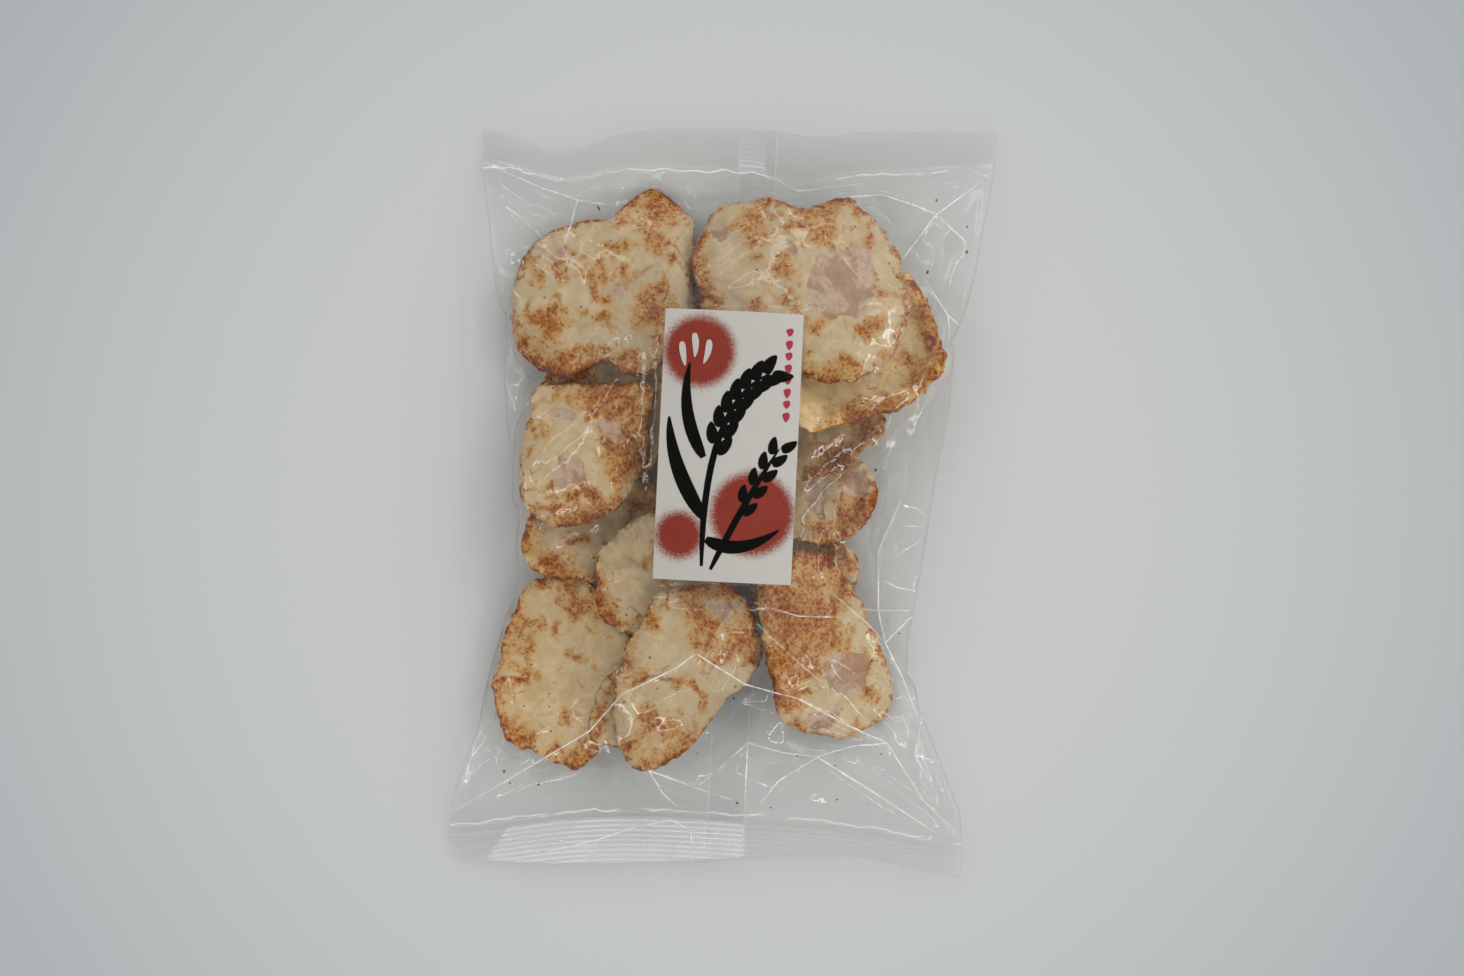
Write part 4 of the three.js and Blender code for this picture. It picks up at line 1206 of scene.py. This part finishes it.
def rice_ear(foot, bend, tip, grains, size):
    """A stem from foot to tip, with grains along its upper half."""
    foot, bend, tip = (np.array(place, dtype=float) for place in (foot, bend, tip))
    strokes = [brush_stroke(foot, bend, tip, 2.2)]
    for number in range(grains):
        t = 0.42 + 0.58 * number / (grains - 1)
        root = (1 - t) ** 2 * foot + 2 * t * (1 - t) * bend + t ** 2 * tip
        along = (1 - t) * (bend - foot) + t * (tip - bend)
        along /= np.linalg.norm(along)
        side = np.array([along[1], -along[0]]) * (-1) ** number
        start = root + 0.8 * side
        end = root + size * (0.8 * along + 0.5 * side)
        strokes.append(brush_stroke(start, (start + end) / 2 + 0.8 * side, end, 0.5 * size))
    return strokes


def join_strokes(name, strokes):
    """The strokes as one thin closed piece."""
    piece = join_pieces(name, strokes)
    apply_modifier(piece, "SOLIDIFY", thickness=INK_THICKNESS * MM, offset=-1)
    bpy.ops.object.shade_smooth_by_angle(angle=math.radians(40))
    return piece


ears = rice_ear((-7, -40), (-9, 14), (13, 25), 15, 8.0)
ears += rice_ear((-4, -41), (7, -16), (17, 0), 9, 6.6)
ears.append(brush_stroke((-7, -24), (-19, -8), (-20, 9), 5.0))
ears.append(brush_stroke((-6, -31), (5, -37), (18, -27), 4.4))
ears.append(brush_stroke((-8, -4), (-17, 10), (-14, 27), 4.2))
ink_ears = join_strokes("brushed_rice_ears", ears)
dabs = [brush_stroke((18.5, y), (18.8, y - 1.2), (18.5, y - 2.6 - 0.5 * (k % 2)), 2.4)
        for k, y in enumerate(np.linspace(40, 12, 8))]
red_dabs = join_strokes("red_dabs", dabs)
white_dabs = join_strokes("white_grains", [
    brush_stroke((-13, 37), (-12, 33), (-12.5, 29), 2.2),
    brush_stroke((-8, 35), (-7.6, 31), (-9.5, 27), 2.2),
    brush_stroke((-17, 34), (-16.5, 30), (-15.5, 26), 2.2)])

# %% [markdown]
# Coated label paper is a soft, slightly warm white with hardly any gloss. The discs are
# printed to look like a sponge dabbed in red: full and a little cloudy inside, breaking into
# fine grain at the edge.

# %% Materials of the label
# Discs: middle and radius from the label's middle, mm.
DISCS = ((9.0, -22.0, 14.5), (-11.0, 31.0, 12.5), (-15.0, -30.0, 8.5))
PRINT_GRAIN, PRINT_CLOUD = 0.7, 6
PAPER_WHITES, PRINT_REDS = ("#c3beb7", "#bdb7af"), ("#7a2214", "#8f3424")


label_middle = (Vector(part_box("label")[0]) + Vector(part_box("label")[1])) / 2


def printed_paper(middle):
    material = bpy.data.materials.new("coated label paper, printed")
    add = node_adder(material)
    place = add("TexCoord")["Object"]
    flat = add("VectorMath", MULTIPLY, {0: place, 1: (1, 1, 0)})[0]
    grain = add("TexNoise", None, {"Vector": place, "Scale": 1 / (PRINT_GRAIN * MM),
                "Detail": 3})["Fac"]
    cloud = add("TexNoise", None, {"Vector": place, "Scale": 1 / (PRINT_CLOUD * MM),
                "Detail": 4})["Fac"]
    colour, red = (add("Mix", BLEND, {0: cloud, 6: linear(one), 7: linear(other)})[2]
                   for one, other in (PAPER_WHITES, PRINT_REDS))
    for disc_x, disc_y, radius in DISCS:
        centre = (middle[0] + disc_x * MM, middle[1] + disc_y * MM, 0)
        away = add("VectorMath", {"operation": "DISTANCE"}, {0: flat, 1: centre})["Value"]
        ragged = add("Math", MULTIPLY_ADD, {0: grain, 1: 4.0 * MM, 2: away})[0]
        edge = add("MapRange", SMOOTH, {"Value": ragged, "From Min": (radius - 0.8) * MM,
                   "From Max": (radius + 3.6) * MM, "To Min": 0.98, "To Max": 0.0})["Result"]
        colour = add("Mix", BLEND, {0: edge, 6: colour, 7: red})[2]
    paper = add("BsdfPrincipled", None, {"Base Color": colour, "Roughness": 0.6,
                "Specular IOR Level": 0.12})[0]
    add("OutputMaterial", None, {"Surface": paper})
    return material


def streaky(name, colours, gloss=0.12, streaks=1.5):
    """A dull material that varies between two colours, in streaks of a size in mm."""
    material = bpy.data.materials.new(name)
    add = node_adder(material)
    streak = add("TexNoise", None, {"Vector": add("TexCoord")["Object"],
                 "Scale": 1 / (streaks * MM), "Detail": 3})["Fac"]
    colour = add("Mix", BLEND, {0: streak, 6: linear(colours[0]), 7: linear(colours[1])})[2]
    ink = add("BsdfPrincipled", None, {"Base Color": colour, "Roughness": 0.6,
              "Specular IOR Level": gloss})[0]
    add("OutputMaterial", None, {"Surface": ink})
    return material


label.data.materials.append(printed_paper(label_middle))
ink_ears.data.materials.append(streaky("black printing ink", ("#080807", "#131410"), 0.04))
red_dabs.data.materials.append(streaky("crimson printing ink", ("#9c2a38", "#a93b46")))
white_dabs.data.materials.append(streaky("white of the paper", PAPER_WHITES))

# %% [markdown]
# ## Crumbs
#
# A few crumbs of crust have come off and lie in the bag. Each starts as a low icosphere, is
# knocked out of shape, and lies on the film's back sheet where no cracker is.

# %% Crumbs
CRUMBS, CRUMB_GAP, STEEP_FILM = 26, 0.4, 0.7


def scatter_crumbs():
    draw = np.random.default_rng(11)
    pieces = []
    while len(pieces) < CRUMBS:
        x, y = draw.uniform(-84, 84), draw.uniform(-106, 110)
        size = draw.uniform(0.25, 0.6)
        shape = draw.uniform(0.7, 1.3, 3)
        if not (-side_x("left", y) + 6 < x < side_x("right", y) - 6):
            continue
        i, j = cells_of(np.array([[x, y, 0.0]]))
        rest = film_height(x, y, from_above=False) + CRUMB_GAP
        sides = [film_height(x + dx, y + dy, from_above=False)
                 for dx, dy in ((-1, 0), (1, 0), (0, -1), (0, 1))]
        steep = max(sides) - min(sides) > STEEP_FILM
        if steep or pile_top[i[0], j[0]] > 3 or film_height(x, y) - rest < 2:
            continue
        bpy.ops.mesh.primitive_ico_sphere_add(subdivisions=1, radius=1)
        crumb = bpy.context.object
        ball = get_points(crumb) * MM
        knocked = ball * (1 + 0.5 * draw.uniform(-1, 1, (len(ball), 1))) * shape * size
        knocked += (x, y, rest + size * 0.9)
        set_points(crumb, knocked)
        pieces.append(crumb)
    return join_pieces("crumbs", pieces)


crumbs = scatter_crumbs()
crumbs.data.materials.append(streaky("crumbs of browned crust", ("#9a5a26", "#7a3d16")))

# %% [markdown]
# ## Into the frame
#
# All was laid out from the label's usual place on such a pack. The frame's origin is under
# the middle of the whole outline, so everything moves there together, down to the table.

# %% Move into the frame and say what rides and replaces
TABLE_GAP = 0.05
made = crackers + [film, ridge_highlights, seam, label, ink_ears, red_dabs, white_dabs, crumbs]
select_only(made)
lowest = min(get_points(piece)[:, 2].min() for piece in made) - TABLE_GAP
shift = [label_middle[k] - LABEL_AT[k] * MM for k in (0, 1)] + [-lowest * MM]
bpy.ops.transform.translate(value=shift)
bpy.ops.object.transform_apply(location=True, rotation=False, scale=False)
print("moved by, mm:", [round(v / MM, 2) for v in shift])

for piece in made:
    on_label = piece in (label, ink_ears, red_dabs, white_dabs)
    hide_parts("label" if on_label else "bag")
    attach(piece, "root")

# %% [markdown]
# ## The table and the light
#
# The pack lies on a pale matte board in a soft light that comes from all sides, a little more
# of it from the upper right. Film mirrors only what is there to be mirrored. The ceiling is
# dark, so film that lies level stays clear, and the bright walls show on each facet that
# leans. Four long, narrow lamps draw thin bright lines along the folds, and a small window
# adds a few brighter patches. The board's colour is painted darker away from the pack: painted
# shade for the light that falls off there.

# %% Table and lamps
LAMPS = {
    "strip_right": ((0.85, 0.1, 0.8), (1.0, 0.04), 1.5),
    "strip_left": ((-0.85, 0.1, 0.8), (1.0, 0.03), 0.9),
    "strip_low": ((-0.1, -0.85, 0.8), (1.0, 0.04), 1.5),
    "strip_high": ((0.0, 0.9, 0.7), (1.0, 0.04), 0.7),
    "window": ((0.5, 0.6, 0.9), (0.25, 0.15), 0.35),
}
BRIGHT_SIDE, DULL, BRIGHT = (0.78, 0.45, 0.43), 0.6, 1.47
DARK_CEILING, CEILING_EDGE = 0.1, (0.8, 0.96)


def matte_board():
    material = bpy.data.materials.new("pale matte board")
    add = node_adder(material)
    place = add("TexCoord")["Object"]
    away = add("VectorMath", {"operation": "LENGTH"}, {0: place})["Value"]
    # Painted shade: the board's colour darkens away from the pack, standing in for the light's
    # falloff.
    far = add("MapRange", SMOOTH, {"Value": away, "From Min": 0.1, "From Max": 0.4})["Result"]
    tone = add("Mix", BLEND, {0: far, 6: linear("#cbcbca"), 7: linear("#a5acae")})[2]
    board = add("BsdfPrincipled", None, {"Base Color": tone, "Roughness": 0.9})[0]
    add("OutputMaterial", None, {"Surface": board})
    return material


def strip_lamp(name, place, size, watts):
    """A long narrow lamp that looks at the pack."""
    data = bpy.data.lights.new(name, "AREA")
    data.shape = "RECTANGLE"
    data.size, data.size_y = size
    data.energy = watts
    lamp = bpy.data.objects.new(name, data)
    scene.collection.objects.link(lamp)
    lamp.location = place
    lamp.rotation_euler = Vector(place).to_track_quat("Z", "Y").to_euler()


bpy.ops.mesh.primitive_plane_add(size=30)
floor = bpy.context.object
floor.name = "floor"
floor.data.materials.append(matte_board())
for name, (place, size, watts) in LAMPS.items():
    strip_lamp(name, place, size, watts)
world = bpy.data.worlds.new("soft room")
scene.world = world
add = node_adder(world)
way = add("TexCoord")["Generated"]
toward = add("VectorMath", {"operation": "DOT_PRODUCT"}, {0: way, 1: BRIGHT_SIDE})["Value"]
walls = add("MapRange", None, {"Value": toward, "From Min": -0.8, "From Max": 1.0,
            "To Min": DULL, "To Max": BRIGHT})["Result"]
up = add("SeparateXYZ", None, {0: way})["Z"]
ceiling = add("MapRange", SMOOTH, {"Value": up, "From Min": CEILING_EDGE[0],
              "From Max": CEILING_EDGE[1], "To Min": 1.0, "To Max": DARK_CEILING})["Result"]
strength = add("Math", MULTIPLY, {0: walls, 1: ceiling})[0]
glow = add("Background", None, {"Color": linear("#e8ebec"), "Strength": strength})[0]
add("OutputWorld", None, {"Surface": glow})
scene.view_settings.view_transform = "Standard"
